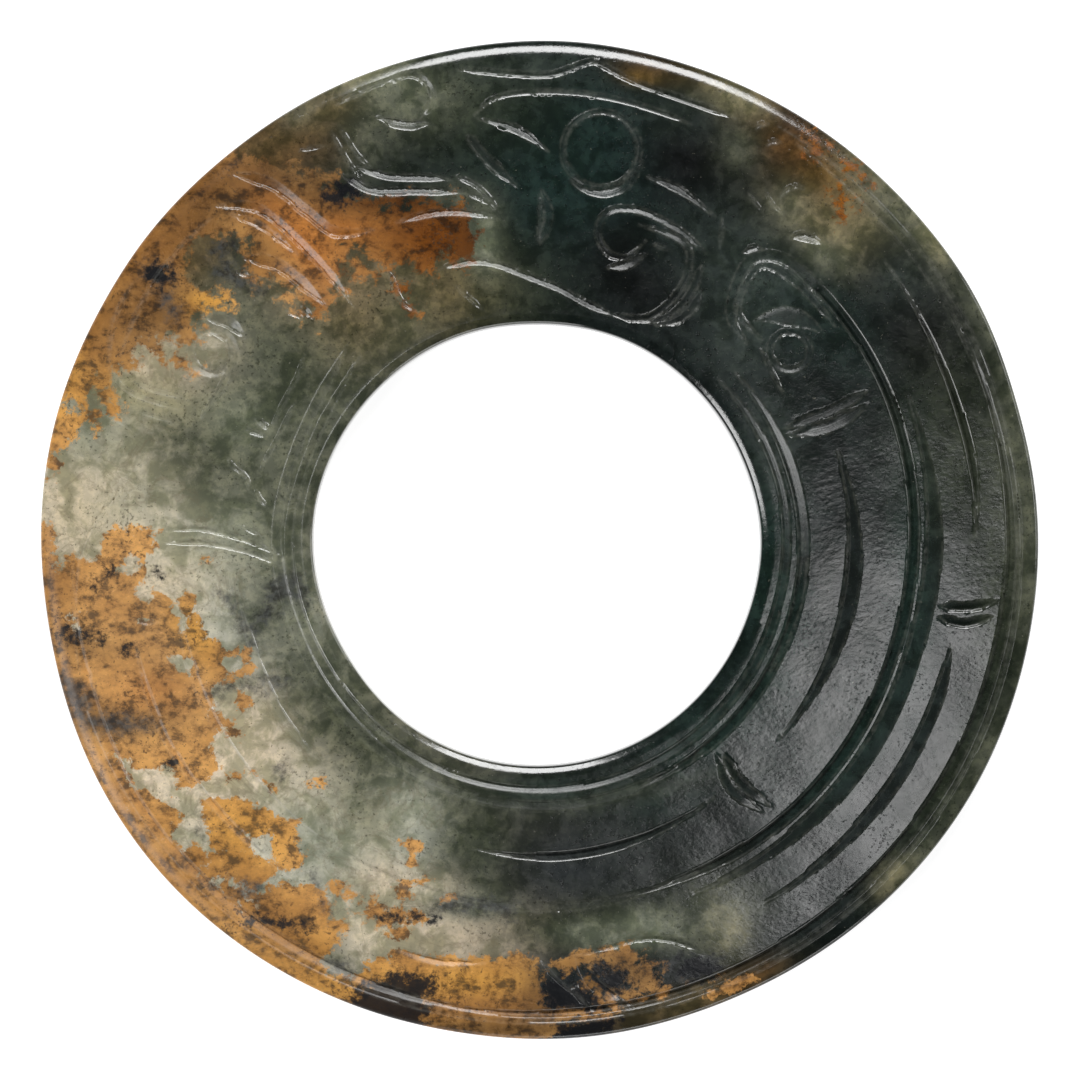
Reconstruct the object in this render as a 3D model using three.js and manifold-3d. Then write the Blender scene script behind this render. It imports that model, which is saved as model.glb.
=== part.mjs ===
// Jade bi disc: one flat ring of nephrite with a wide round hole. The face is
// carved with a crested animal head above the hole, whose body and tail run
// round the ring as bands of slant-cut grooves.
//
// Millimetres, +Z up. The disc lies on its plain back, the origin is under the
// middle of the ring, and the carved head looks out on the +Y side.
// Places on the face are given as [angle, radius]: degrees anticlockwise from
// +X, and the distance from the ring's axis.
import * as THREE from 'three';
import { mergeVertices } from 'three/addons/utils/BufferGeometryUtils.js';
import Module from 'manifold-3d';

const wasm = await Module();
wasm.setup();

// Driving sizes
const outerRadius = 60;
const holeRadius = 26.7;
const holeOffset = new THREE.Vector2(-0.29, -0.27);
const thickness = 6;
const outerRoundingWidth = 1.9;
const outerRoundingDrop = 1.3;
const holeRoundingWidth = 1.2;
const holeRoundingDrop = 0.9;
const backRounding = 0.9;

// How fine the faceting is
const ringSegments = 90;
const circleSegments = 18;
const roundingSteps = 3;
const bandStep = 6;
const carvingStep = 2.3;

// Grooves: a cut is this share of its width deep, down to the deepest, and its
// valley lies this share of the width off the middle
const depthToWidth = 0.4;
const deepestCut = 0.55;
const valleyShare = 0.38;
const cutterLift = 0.12;
const tipScale = 0.14;
const backLineWidth = 0.9;
const mergeDistance = 1e-4;

// Which wall of a cut is the steep one, seen along its path
const left = 1;
const right = -1;

// Millimetres along the ring for each degree, halfway between rim and hole
const unrolledDegree = ((outerRadius + holeRadius) / 2) * (Math.PI / 180);

// The ring was ground by hand: low swellings and dips of its two edges, each
// [middle angle, half-width in degrees, height in mm]
const rimSwellings = [
  [16, 9, -0.24],
  [30, 9, 0.16],
  [87, 11, 0.24],
  [130, 12, -0.28],
  [151, 10, -0.24],
  [190, 12, -0.24],
  [220, 22, 0.48],
  [262, 12, -0.22],
  [292, 16, -0.34],
  [330, 14, 0.17],
];
const holeSwellings = [
  [2, 14, 0.24],
  [90, 16, -0.25],
  [172, 22, 0.3],
  [212, 16, -0.23],
];

function swelling(angle, swellings) {
  let height = 0;
  for (const [middle, halfWidth, peak] of swellings) {
    const away = THREE.MathUtils.euclideanModulo(angle - middle + 180, 360) - 180;
    height += peak * Math.exp(-((away / halfWidth) ** 2));
  }
  return height;
}

function polar([angle, radius]) {
  const turn = THREE.MathUtils.degToRad(angle);
  return new THREE.Vector3(radius * Math.cos(turn), radius * Math.sin(turn), 0);
}

// A closed geometry becomes a solid once its shared corners are merged.
function solidOf(geometry) {
  geometry.deleteAttribute('normal');
  geometry.deleteAttribute('uv');
  const merged = mergeVertices(geometry, mergeDistance);
  const mesh = new wasm.Mesh({
    numProp: 3,
    vertProperties: new Float32Array(merged.attributes.position.array),
    triVerts: new Uint32Array(merged.index.array),
  });
  return new wasm.Manifold(mesh);
}

function geometryOf(solid) {
  const mesh = solid.getMesh();
  const geometry = new THREE.BufferGeometry();
  geometry.setAttribute('position', new THREE.BufferAttribute(mesh.vertProperties, 3));
  geometry.setIndex(new THREE.BufferAttribute(mesh.triVerts, 1));
  geometry.computeVertexNormals();
  return geometry;
}

// ---- The blank ----

// A quarter of an ellipse from one corner of the section to the next.
function rounding(centre, across, up, fromTurn, toTurn) {
  const points = [];
  for (let step = 0; step <= roundingSteps; step += 1) {
    const turn = THREE.MathUtils.lerp(fromTurn, toTurn, step / roundingSteps) * (Math.PI / 2);
    const x = centre[0] + across * Math.cos(turn);
    const y = centre[1] + up * Math.sin(turn);
    points.push(new THREE.Vector2(x, y));
  }
  return points;
}

// The section of the ring, closed on itself, from the back's outer edge round
// the rim, over the face and down through the hole.
function ringSection() {
  const outerSide = outerRadius - backRounding;
  const outerTop = outerRadius - outerRoundingWidth;
  const holeTop = holeRadius + holeRoundingWidth;
  const holeSide = holeRadius + backRounding;
  const section = [
    ...rounding([outerSide, backRounding], backRounding, backRounding, -1, 0),
    ...rounding([outerTop, thickness - outerRoundingDrop], outerRoundingWidth, outerRoundingDrop, 0, 1),
    ...rounding([holeTop, thickness - holeRoundingDrop], holeRoundingWidth, holeRoundingDrop, 1, 2),
    ...rounding([holeSide, backRounding], backRounding, backRounding, 2, 3),
  ];
  section.push(section[0].clone());
  return section;
}

// The lathe turns about Y, so the ring is laid down, and its round edges are
// then moved to the hand-ground outline and the hole's own centre.
function ringBlank() {
  const lathe = new THREE.LatheGeometry(ringSection(), ringSegments);
  lathe.rotateX(Math.PI / 2);
  const place = lathe.attributes.position;
  const holeTopRadius = holeRadius + holeRoundingWidth;
  const rimTopRadius = outerRadius - outerRoundingWidth;
  for (let i = 0; i < place.count; i += 1) {
    const x = place.getX(i);
    const y = place.getY(i);
    const radius = Math.hypot(x, y);
    const angle = THREE.MathUtils.radToDeg(Math.atan2(y, x));
    const share = THREE.MathUtils.clamp((radius - holeTopRadius) / (rimTopRadius - holeTopRadius), 0, 1);
    const grown = share * swelling(angle, rimSwellings) + (1 - share) * swelling(angle, holeSwellings);
    const stretch = (radius + grown) / radius;
    const shift = holeOffset.clone().multiplyScalar(1 - share);
    place.setXY(i, x * stretch + shift.x, y * stretch + shift.y);
  }
  return solidOf(lathe);
}

// ---- The grooves ----

// A path over the face through places given as [angle, radius]. It is smoothed
// as if the ring were unrolled, so a long band needs only a few places.
class FacePath extends THREE.Curve {
  constructor(places) {
    super();
    const unrolled = places.map(([angle, radius]) => new THREE.Vector3(angle * unrolledDegree, radius, 0));
    this.unrolled = new THREE.CatmullRomCurve3(unrolled, false, 'centripetal');
  }

  getPoint(t, target = new THREE.Vector3()) {
    const place = this.unrolled.getPoint(t);
    return target.copy(polar([place.x / unrolledDegree, place.y]));
  }
}

// Part of a circle about a place on the face; its own angles start at +X.
class CirclePath extends THREE.Curve {
  constructor({ centre, radius, from, to }) {
    super();
    this.centre = polar(centre);
    this.radius = radius;
    this.from = from;
    this.to = to;
  }

  getPoint(t, target = new THREE.Vector3()) {
    const turn = THREE.MathUtils.degToRad(THREE.MathUtils.lerp(this.from, this.to, t));
    return target.set(Math.cos(turn), Math.sin(turn), 0).multiplyScalar(this.radius).add(this.centre);
  }
}

// The three corners of a groove's section: x across it to the left of its
// path, y up from the face. The lowest corner is the valley. It lies off the
// middle, so that one wall is steep and the other a long slant, and the two
// walls run on to a little above the face.
function grooveSection(width, steep) {
  const depth = Math.min(deepestCut, width * depthToWidth);
  const valley = steep * valleyShare * width;
  const reach = (depth + cutterLift) / depth;
  return [
    new THREE.Vector2(valley, -depth),
    new THREE.Vector2(valley + (width / 2 - valley) * reach, cutterLift),
    new THREE.Vector2(valley - (width / 2 + valley) * reach, cutterLift),
  ];
}

// A groove along a path: a straight three-sided bar of that section, bent over
// the face. Where it runs out at an end, it gets narrower and shallower.
function pathCutter({ path, width, steep, ends }, step) {
  const steps = Math.max(3, Math.ceil(path.getLength() / step));
  const section = new THREE.Shape(grooveSection(width, steep));
  const bar = new THREE.ExtrudeGeometry(section, { depth: 1, steps, bevelEnabled: false });
  const place = bar.attributes.position;
  for (let i = 0; i < place.count; i += 1) {
    const along = THREE.MathUtils.clamp(place.getZ(i), 0, 1);
    const point = path.getPointAt(along);
    const heading = path.getTangentAt(along);
    const leftward = new THREE.Vector3(-heading.y, heading.x, 0).normalize();
    const opening = ends[0] > 0 ? Math.min(1, along / ends[0]) : 1;
    const closing = ends[1] > 0 ? Math.min(1, (1 - along) / ends[1]) : 1;
    const size = THREE.MathUtils.lerp(tipScale, 1, Math.min(opening, closing));
    point.addScaledVector(leftward, place.getX(i) * size);
    const height = place.getY(i);
    place.setXYZ(i, point.x, point.y, thickness + (height < 0 ? height * size : height));
  }
  return solidOf(bar);
}

// A groove all the way round a circle, with its steep wall inside.
function circleCutter({ centre, radius, width, segments }) {
  const section = grooveSection(width, right).map((corner) => corner.add(new THREE.Vector2(radius, 0)));
  section.push(section[0].clone());
  const ring = new THREE.LatheGeometry(section, segments);
  ring.rotateX(Math.PI / 2);
  const middle = polar(centre);
  ring.translate(middle.x, middle.y, thickness);
  return solidOf(ring);
}

// The same groove in the back: the face's one, turned over.
function backCutter(radius) {
  const centre = [0, 0];
  const cut = circleCutter({ centre, radius, width: backLineWidth, segments: ringSegments });
  return cut.rotate([180, 0, 0]).translate([0, 0, thickness]);
}

// ---- The carving ----

// ends are the shares of the length over which the cut runs out to a point at
// its start and at its end; then come the places that it passes.
function cut(width, steep, ends, ...places) {
  return { width, steep, ends, path: new FacePath(places) };
}

// Bands that run round the ring, inner wall steep: one under the rim, two that
// are the animal's body, and two round the hole
const bands = [
  cut(
    1.25, left, [0.05, 0.03],
    [188, 56.4], [215, 57.5], [240, 56.9], [283, 56.7], [320, 56.55], [360, 56.65],
    [417, 56.8],
  ),
  cut(
    2.1, left, [0.3, 0.25],
    [294, 46.2], [312, 46.6], [330, 46.9], [345, 46.85], [360, 47.35], [382, 47.6],
  ),
  cut(
    1.3, left, [0.06, 0],
    [189, 43.95], [203, 44.5], [230, 44.65], [262, 43.95], [290, 43.9], [315, 44.5],
    [345, 44.6], [365, 45.1], [385, 45.5], [402, 45.3],
  ),
  cut(
    1.35, left, [0.06, 0.06],
    [134, 32.9], [143, 31.8], [158, 31.2], [180, 31.5], [200, 31], [222, 31.2], [250, 31.6],
    [282, 31.8], [350, 31.8], [375, 31.5], [401, 31],
  ),
  cut(
    1, left, [0.06, 0.06],
    [134, 30.9], [143, 30], [160, 29.5], [180, 30], [222, 29.6], [250, 29.8], [320, 29.8],
    [350, 29.6], [375, 29.7], [402, 29],
  ),
];

// Long leaf-shaped cuts between the bands
const leaves = [
  cut(1.5, left, [0.45, 0.15], [302, 51.15], [325, 51.5], [338, 51.4], [345.7, 51]),
  cut(1.25, left, [0.3, 0.5], [0.5, 52.3], [9, 52.85], [20, 52.8], [39, 53.4]),
  cut(1.9, left, [0.5, 0.35], [320.5, 37.2], [342, 37.8], [362, 37.8], [377, 37.4]),
  cut(1.3, left, [0.3, 0.45], [259, 37.7], [272, 37.85], [290, 37.6], [304.4, 37.2]),
  cut(0.8, left, [0.2, 0.2], [192, 36.6], [203, 36.7], [214, 37.2], [224, 37.3]),
  cut(0.8, left, [0.2, 0.2], [194, 49.9], [208, 50.7], [222, 50.2], [233, 50.2]),
  cut(0.9, left, [0.3, 0.3], [250, 51.8], [256, 51.9], [263, 50.9]),
];

// Pairs of short bowed cuts that cross the space between two bands
const bowedPairs = [
  cut(1, right, [0.2, 0.2], [24.6, 43.2], [24.2, 38], [24.7, 32.6]),
  cut(1.6, right, [0.3, 0.3], [22.6, 42.6], [21.7, 37.5], [23, 32.6]),
  cut(1.1, right, [0.25, 0.25], [311.1, 42.2], [310, 37.7], [310.7, 33.6]),
  cut(1.3, right, [0.3, 0.3], [309.6, 42.2], [307.9, 37.4], [309.7, 33.2]),
  cut(1.2, right, [0.3, 0.15], [352.7, 55.3], [351.4, 52.2], [350.9, 48.8]),
  cut(1.1, right, [0.3, 0.2], [350.8, 55.3], [349.1, 51.8], [349.4, 48.8]),
  cut(0.7, right, [0.2, 0.2], [180.2, 45.6], [180.3, 39.5], [182.4, 34.3], [185.3, 31.3]),
  cut(0.7, right, [0.2, 0.2], [178.4, 45], [177.8, 40.7], [180, 34.6], [183.1, 31.2]),
];

// The eye is a flat bead in a round cut, with a slanted lid below and behind
const eyeCentre = [81.05, 47.6];
const eyeRadius = 4.7;
const lid = {
  width: 1.4,
  steep: left,
  ends: [0.4, 0.4],
  path: new CirclePath({ centre: eyeCentre, radius: eyeRadius + 0.5, from: 225, to: 375 }),
};

// Brow, temple, the two spear points beside the eye, the nostril and the jaw
const face = [
  lid,
  cut(0.7, right, [0.1, 0.1], [98.7, 51.7], [96, 53.4], [86, 54], [70, 53.3]),
  cut(1.1, right, [0.1, 0.3], [100.1, 49.6], [97.3, 45.8], [93.7, 42.7]),
  cut(1.05, left, [0.4, 0.4], [98.3, 51.3], [92.8, 49.3], [88.8, 46.9]),
  cut(1, left, [0.3, 0.6], [73.5, 45.6], [69, 45.5], [61.5, 44.3]),
  cut(1.1, right, [0.3, 0.2], [89.6, 42.2], [88.4, 38.9], [89.9, 35.8]),
  cut(0.8, left, [0.1, 0.1], [110, 34.8], [102, 34.3], [91.5, 31.6], [82, 30], [75, 30.2]),
];

// The curled snout
const snout = [
  cut(
    0.8, right, [0.1, 0.2],
    [60, 40], [67, 41.1], [75, 41.3], [78.6, 40], [79.2, 37.6], [76.6, 35.6], [73, 35.7],
    [70.4, 38.3],
  ),
  cut(1, left, [0.3, 0.4], [76, 33.8], [72.5, 34.8], [69.5, 36.8]),
  cut(0.7, right, [0.1, 0.2], [72, 28.7], [64, 30], [61.3, 33], [61.1, 37], [63.4, 39.6], [72.5, 39.9]),
  cut(0.9, right, [0.2, 0.1], [62.5, 29.8], [59.4, 32], [58.6, 35], [59.5, 38.4]),
  cut(1.3, left, [0.2, 0.2], [57.5, 36], [57, 34], [58.4, 31.4], [60.4, 30]),
];

// The horn behind the brow, with its curl at the rim
const horn = [
  cut(0.7, left, [0.2, 0.2], [115, 57.8], [107, 58.1], [104, 57.3], [103.4, 55.4], [104.4, 54]),
  cut(1.3, left, [0.3, 0.3], [110.9, 54.4], [108, 52.6], [104.6, 51.8]),
  cut(0.9, left, [0.1, 0.2], [116, 50], [112.5, 47.4], [103.8, 44.7]),
  cut(1.05, left, [0.1, 0.2], [118.4, 50.3], [115.5, 46.7], [109, 44.5], [102.2, 42.8]),
  cut(0.7, left, [0.1, 0.2], [102.8, 45], [99.6, 43], [96.8, 39.7]),
  cut(0.8, left, [0.2, 0.2], [114, 41.9], [106, 41.1], [97.1, 39.1]),
];

// Locks of the crest that stream down behind the horn
const crest = [
  cut(1.3, right, [0.15, 0.25], [129.9, 57.6], [126.6, 53.2], [125, 48.2], [123.2, 44.4], [118, 42.3]),
  cut(1.1, right, [0.15, 0.2], [133.9, 55.9], [130.2, 52.4], [128.6, 46], [128, 40], [128.2, 36]),
  cut(0.8, right, [0.2, 0.3], [133.3, 54.2], [131.1, 49.8], [130, 45]),
  cut(1.5, right, [0.2, 0.3], [136.1, 49.3], [133.2, 45.3], [132, 38.2]),
  cut(1.5, right, [0.35, 0.35], [146.1, 48.5], [144.7, 45.5], [145.2, 42.8]),
  cut(0.8, left, [0.2, 0.2], [160, 43.1], [152.5, 42.3], [147.4, 44], [147.2, 46.4], [149, 47.4]),
  cut(0.7, left, [0.2, 0.2], [157.6, 56], [159.8, 53], [160, 46]),
];

// The neck, which curls in on itself where it meets the body band
const neck = [
  cut(
    1.3, left, [0, 0.2],
    [401, 45.3], [409.5, 44.7], [412.8, 42.7], [413, 40.6], [411.6, 37.6], [409, 35.3],
    [403.5, 34.4],
  ),
  cut(
    0.85, left, [0.15, 0.15],
    [396, 43.9], [406, 43.7], [411, 42.7], [411.6, 40.3], [409, 36.4], [402, 36],
  ),
  cut(1.7, left, [0.25, 0.25], [43.6, 41.8], [42.7, 38.9], [42.7, 36.5]),
  cut(1.2, left, [0.3, 0.3], [56.6, 43.2], [56.2, 40], [54.8, 36.4]),
  cut(1.1, left, [0.4, 0.3], [50.8, 47.1], [48.8, 48.5], [46.4, 49.3]),
];

// Scallops under the rim above the head, and the claw at the foot of the ring
const borders = [
  cut(0.75, right, [0.15, 0], [99.9, 57.5], [93, 56.2], [88.5, 56.1], [83.6, 58.1]),
  cut(0.75, right, [0, 0.15], [83.6, 58.1], [78.3, 56.4], [72, 55.8], [65, 56]),
  cut(0.8, left, [0.2, 0.2], [292.8, 54], [289.2, 50.8], [285, 49.2], [275, 49.7]),
  cut(1.5, right, [0.3, 0.3], [281.2, 57], [277.6, 54], [275.2, 50.4]),
];

// Whole circles: the eye, and the bead in the curl of the neck
const circles = [
  { centre: eyeCentre, radius: eyeRadius, width: 0.9, segments: circleSegments },
  { centre: [37.3, 37.8], radius: 2.35, width: 0.8, segments: circleSegments },
];

// Two plain lines border the back
const backLines = [holeRadius + 5, outerRadius - 4];

function carve(blank) {
  const carving = [...leaves, ...bowedPairs, ...face, ...snout, ...horn, ...crest, ...neck, ...borders];
  const cutters = [
    ...bands.map((band) => pathCutter(band, bandStep)),
    ...carving.map((groove) => pathCutter(groove, carvingStep)),
    ...circles.map(circleCutter),
    ...backLines.map(backCutter),
  ];
  let stone = blank;
  for (const cutter of cutters) stone = stone.subtract(cutter);
  return stone;
}

// ---- The disc ----

// The ring's axis moves a little off the origin, so that the origin is under
// the middle of the whole outline.
function discGeometry() {
  const geometry = geometryOf(carve(ringBlank()));
  geometry.computeBoundingBox();
  const middle = geometry.boundingBox.getCenter(new THREE.Vector3());
  geometry.translate(-middle.x, -middle.y, 0);
  return geometry;
}

const jade = new THREE.MeshStandardMaterial({ color: 0x4b4a34, roughness: 0.28, metalness: 0 });
const disc = new THREE.Mesh(discGeometry(), jade);
disc.name = 'disc';

const biDisc = new THREE.Group();
biDisc.add(disc);

export default biDisc;
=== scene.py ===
import math
from types import SimpleNamespace

import bmesh
import bpy
import numpy as np
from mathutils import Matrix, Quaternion, Vector, kdtree


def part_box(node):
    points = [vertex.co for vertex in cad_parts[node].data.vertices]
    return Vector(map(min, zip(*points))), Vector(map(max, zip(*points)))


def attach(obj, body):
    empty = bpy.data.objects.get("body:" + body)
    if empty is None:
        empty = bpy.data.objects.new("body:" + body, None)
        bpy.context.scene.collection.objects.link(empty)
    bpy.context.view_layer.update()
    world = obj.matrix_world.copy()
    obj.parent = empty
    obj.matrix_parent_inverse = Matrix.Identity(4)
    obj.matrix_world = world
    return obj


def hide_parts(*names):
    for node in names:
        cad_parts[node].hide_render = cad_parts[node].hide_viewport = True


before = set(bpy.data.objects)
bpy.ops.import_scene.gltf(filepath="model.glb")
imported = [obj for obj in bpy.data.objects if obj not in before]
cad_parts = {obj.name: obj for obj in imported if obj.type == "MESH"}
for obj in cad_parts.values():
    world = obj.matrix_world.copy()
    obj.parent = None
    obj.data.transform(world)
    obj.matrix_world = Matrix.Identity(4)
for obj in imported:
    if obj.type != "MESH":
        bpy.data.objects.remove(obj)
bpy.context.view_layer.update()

MM = 0.001

# The ring
OUTER_RADIUS = 60.0
HOLE_RADIUS = 26.7
HOLE_OFFSET = np.array([-0.29, -0.27])
THICKNESS = 6.0
BACK_ROUNDING = 0.9
ROUNDING_STEPS = 7
SPOKES = 400
FACE_SPACING = 0.8
BACK_SPACING = 2.6
BACK_LINES = (31.7, 56.0)
BACK_LINE = (0.45, 0.342, 0.36)  # half-width, valley's place off the middle, depth

# The two edges of the face, ground to a soft bevel: (in from the edge, below the face)
RIM_BEVEL = [
    (0, 1.15), (0.03, 0.9), (0.12, 0.71), (0.26, 0.56), (0.42, 0.45), (0.66, 0.34), (0.96, 0.22), (1.3, 0.12),
    (1.7, 0.035), (2.1, 0),
]
HOLE_BEVEL = [
    (1.3, 0), (1, 0.05), (0.75, 0.135), (0.5, 0.235), (0.28, 0.34), (0.12, 0.48), (0.03, 0.65), (0, 0.9),
]
RIM_TOP = OUTER_RADIUS - RIM_BEVEL[-1][0]
HOLE_TOP = HOLE_RADIUS + HOLE_BEVEL[0][0]
BEVEL_FOOT = THICKNESS - RIM_BEVEL[0][1]
FACE_START = BEVEL_FOOT + 0.05

# Low swellings and dips of the two hand-ground edges:
# (middle angle, half-width in degrees, height)
RIM_SWELLINGS = [
    (16, 9, -0.24), (30, 9, 0.16), (87, 11, 0.24), (130, 12, -0.28), (151, 10, -0.24),
    (190, 12, -0.24), (220, 22, 0.48), (262, 12, -0.22), (292, 16, -0.34), (330, 14, 0.17),
]
HOLE_SWELLINGS = [(2, 14, 0.24), (90, 16, -0.25), (172, 22, 0.3), (212, 16, -0.23)]

# A groove is this share of its width deep, down to the usual depth of the
# widest; some are cut to a depth of their own, down to the deepest
DEPTH_TO_WIDTH = 0.4
USUAL_DEPTH = 0.55
DEEPEST_CUT = 0.9

# The valley lies this share of the width off the middle, less in a line up to
# FINE_LINE wide, and what is left beside it is the steep wall
VALLEY_SHARE = 0.38
FINE_LINE = 0.75
FINE_VALLEY_SHARE = 0.15

# The hollow of the slant, the size of a groove's tip, and the steps of its path
HOLLOW = 0.22
TIP_SCALE = 0.14
PATH_STEP = 0.15

# Past the end of its path a cut fades out over the first length, and down a
# bevel over the second. Nothing is cut farther from the path than the margin.
END_RUN_OUT = 0.2
CUT_FADE = 0.65
GROOVE_MARGIN = 0.1

# The slope of a chip's wall: over 1, so that it has a small flat floor
CHIP_WALL = 1.3

# The low waves that polishing by hand leaves: (length, direction in radians,
# phase, height), and how far the polished face lies under the solid's
POLISH_WAVES = [
    (9.0, 0.4, 0.3, 0.006), (12.5, 1.9, 2.1, 0.008), (6.1, 2.7, 4.0, 0.0035), (17.0, 1.1, 1.2, 0.01),
    (4.3, 0.9, 5.2, 0.002),
]
POLISHED_OFF = 0.03

# How finely the face is divided. Close to a groove's line an edge may be this
# long across it, and this long along it, less where the line bends. Farther
# off, an edge may be as long as this share of the way to the line.
FINEST = 0.3
LENGTHWISE_STEPS = (0.28, 0.9)
BEND_ALLOWANCE = 0.06
COARSENING = 0.9
DIVISIONS = 3

# A corner is drawn onto a line that is within this share of its shortest edge
DRAWN_SHARE = 0.49
DRAWN_SLACK = 0.02

# Two faces that meet at a sharper angle than this keep a crisp edge
SHARPEST_ARRIS = math.radians(13)

UNROLLED_DEGREE = (OUTER_RADIUS + HOLE_RADIUS) / 2 * math.pi / 180

left, right = 1, -1


# ---- Paths over the face ----


def xy(angle, radius):
    turn = np.radians(angle)
    return np.stack([radius * np.cos(turn), radius * np.sin(turn)], -1)


def smooth_path(places):
    """Evenly spaced points of a soft curve through places [angle, radius], laid out on the unrolled ring."""
    given = np.array(places, float) * (UNROLLED_DEGREE, 1)
    ends = [2 * given[0] - given[1], *given, 2 * given[-1] - given[-2]]
    points = []
    for p0, p1, p2, p3 in zip(ends, ends[1:], ends[2:], ends[3:]):
        d0, d1, d2 = (max(np.linalg.norm(b - a), 1e-6) ** 0.5 for a, b in ((p0, p1), (p1, p2), (p2, p3)))
        out = ((p1 - p0) / d0 - (p2 - p0) / (d0 + d1) + (p2 - p1) / d1) * d1
        into = ((p2 - p1) / d1 - (p3 - p1) / (d1 + d2) + (p3 - p2) / d2) * d1
        t = np.linspace(0, 1, 60, endpoint=False)[:, None]
        points.append(
            p1 + out * t + (3 * (p2 - p1) - 2 * out - into) * t**2 + (2 * (p1 - p2) + out + into) * t**3
        )
    unrolled = np.vstack([*points, given[-1:]])
    return evenly(xy(unrolled[:, 0] / UNROLLED_DEGREE, unrolled[:, 1]))


def evenly(points):
    """The same line through points PATH_STEP apart."""
    run = np.concatenate([[0], np.cumsum(np.linalg.norm(np.diff(points, axis=0), axis=1))])
    at = np.linspace(0, run[-1], max(4, math.ceil(run[-1] / PATH_STEP) + 1))
    return np.stack([np.interp(at, run, points[:, 0]), np.interp(at, run, points[:, 1])], -1)


def circle(centre, radius, start=0, stop=360, corners=180):
    """Evenly spaced points of a circle about (x, y), or of the part of it from one angle to another."""
    return evenly(np.array(centre) + xy(np.linspace(start, stop, corners + 1), radius))


def cut(width, steep, ends, *places):
    """A groove through places. ends are the shares of its length over which it runs out to a point."""
    return {"width": width, "steep": steep, "ends": ends, "line": smooth_path(places)}


def sunk(depth, groove):
    """The same groove cut to a depth of its own."""
    return {**groove, "depth": depth}


def round_cut(width, ends, centre, radius, start=0, stop=360):
    """A groove on a circle about a place, or on part of one, with its steep wall inside."""
    line = circle(xy(*centre), radius, start, stop)
    return {"width": width, "steep": left, "ends": ends, "line": line}


def section(groove):
    """Half-width, valley's place to the left of the path, and depth, at full size."""
    width = groove["width"]
    share = VALLEY_SHARE if width > FINE_LINE else FINE_VALLEY_SHARE
    depth = groove.get("depth", min(USUAL_DEPTH, width * DEPTH_TO_WIDTH))
    return width / 2, groove["steep"] * share * width, depth


def sizes(groove):
    """How large the section is at each point of its line, from 1 down to TIP_SCALE at a tip."""
    along = np.linspace(0, 1, len(groove["line"]))
    size = np.ones(len(along))
    for share, away in zip(groove["ends"], (along, 1 - along)):
        if share:
            size = np.minimum(size, away / share)
    return TIP_SCALE + (1 - TIP_SCALE) * size


def headings(line):
    step = np.gradient(line, axis=0)
    return step / np.maximum(np.linalg.norm(step, axis=1), 1e-9)[:, None]


def leftward(heading):
    return np.stack([-heading[..., 1], heading[..., 0]], -1)


# ---- The carving ----

# Bands that run round the ring, inner wall steep: one under the rim with a fine
# line beside it, two that are the animal's body, and two round the hole
bands = [
    sunk(0.4, cut(1.2, left, [0.1, 0.2], [188, 56.4], [215, 57.5], [240, 56.9], [268, 56.8])),
    sunk(0.76, cut(
        1.25, left, [0.16, 0.2],
        [252, 56.85], [283, 56.7], [320, 56.55], [360, 56.65], [392, 56.7],
    )),
    sunk(0.26, cut(1.2, left, [0.2, 0.2], [376, 56.7], [400, 56.75], [417, 56.8])),
    sunk(0.38, cut(
        2.1, left, [0.3, 0.25],
        [294, 46.2], [312, 46.6], [330, 46.9], [345, 46.85], [360, 47.35], [382, 47.6],
    )),
    sunk(0.18, cut(
        1.1, left, [0.1, 0.2], [189, 43.95], [203, 44.5], [230, 44.65], [262, 43.95], [296, 44],
    )),
    sunk(0.9, cut(
        1.3, left, [0.15, 0],
        [284, 43.85], [290, 43.9], [315, 44.5], [345, 44.6], [365, 45.1], [385, 45.5],
        [402, 45.3],
    )),
    sunk(0.24, cut(
        1.25, left, [0.06, 0.1],
        [134, 32.9], [143, 31.8], [158, 31.2], [180, 31.5], [200, 31], [222, 31.2], [250, 31.6],
        [282, 31.8], [308, 31.8],
    )),
    sunk(0.86, cut(1.25, left, [0.3, 0.2], [290, 31.8], [350, 31.8], [362, 31.75])),
    cut(1.35, left, [0.3, 0.3], [330, 31.8], [350, 31.8], [360, 31.75], [375, 31.5], [401, 31]),
    sunk(0.34, cut(
        1, left, [0.06, 0.06],
        [134, 30.9], [143, 30], [160, 29.5], [180, 30], [222, 29.6], [250, 29.8], [320, 29.8],
        [350, 29.6], [375, 29.7], [402, 29],
    )),
    cut(
        0.5, left, [0.06, 0.06],
        [198, 57.9], [215, 58.4], [230, 58.2], [245, 57.9], [262, 57.7], [283, 57.65], [300, 57.8],
        [330, 57.9], [350, 57.85], [365, 57.5], [400, 57.6], [420, 57.5],
    ),
    cut(0.5, left, [0.2, 0.2], [141, 36], [146, 35.1], [152, 34.9], [158, 34.8]),
    cut(0.5, left, [0.2, 0.2], [150, 33.7], [158, 33.7], [165.5, 34.5]),
]

# Long leaf-shaped cuts between the bands
leaves = [
    sunk(0.28, cut(1.5, left, [0.45, 0.15], [302, 51.15], [325, 51.5], [338, 51.4], [345.7, 51])),
    sunk(0.85, cut(1.1, left, [0.3, 0.6], [0.5, 52.3], [9, 52.85], [20, 52.8], [39, 53.4])),
    sunk(0.34, cut(1.9, left, [0.5, 0.35], [320.5, 37.2], [342, 37.8], [362, 37.8], [377, 37.4])),
    sunk(0.9, cut(1.2, left, [0.3, 0.45], [259, 37.7], [272, 37.85], [290, 37.6], [304.4, 37.2])),
    sunk(0.16, cut(0.8, left, [0.2, 0.2], [192, 36.6], [203, 36.7], [214, 37.2], [224, 37.3])),
    cut(0.8, left, [0.2, 0.2], [194, 49.9], [208, 50.7], [222, 50.2], [233, 50.2]),
    cut(0.9, left, [0.3, 0.3], [250, 51.8], [256, 51.9], [263, 50.9]),
]

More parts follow.
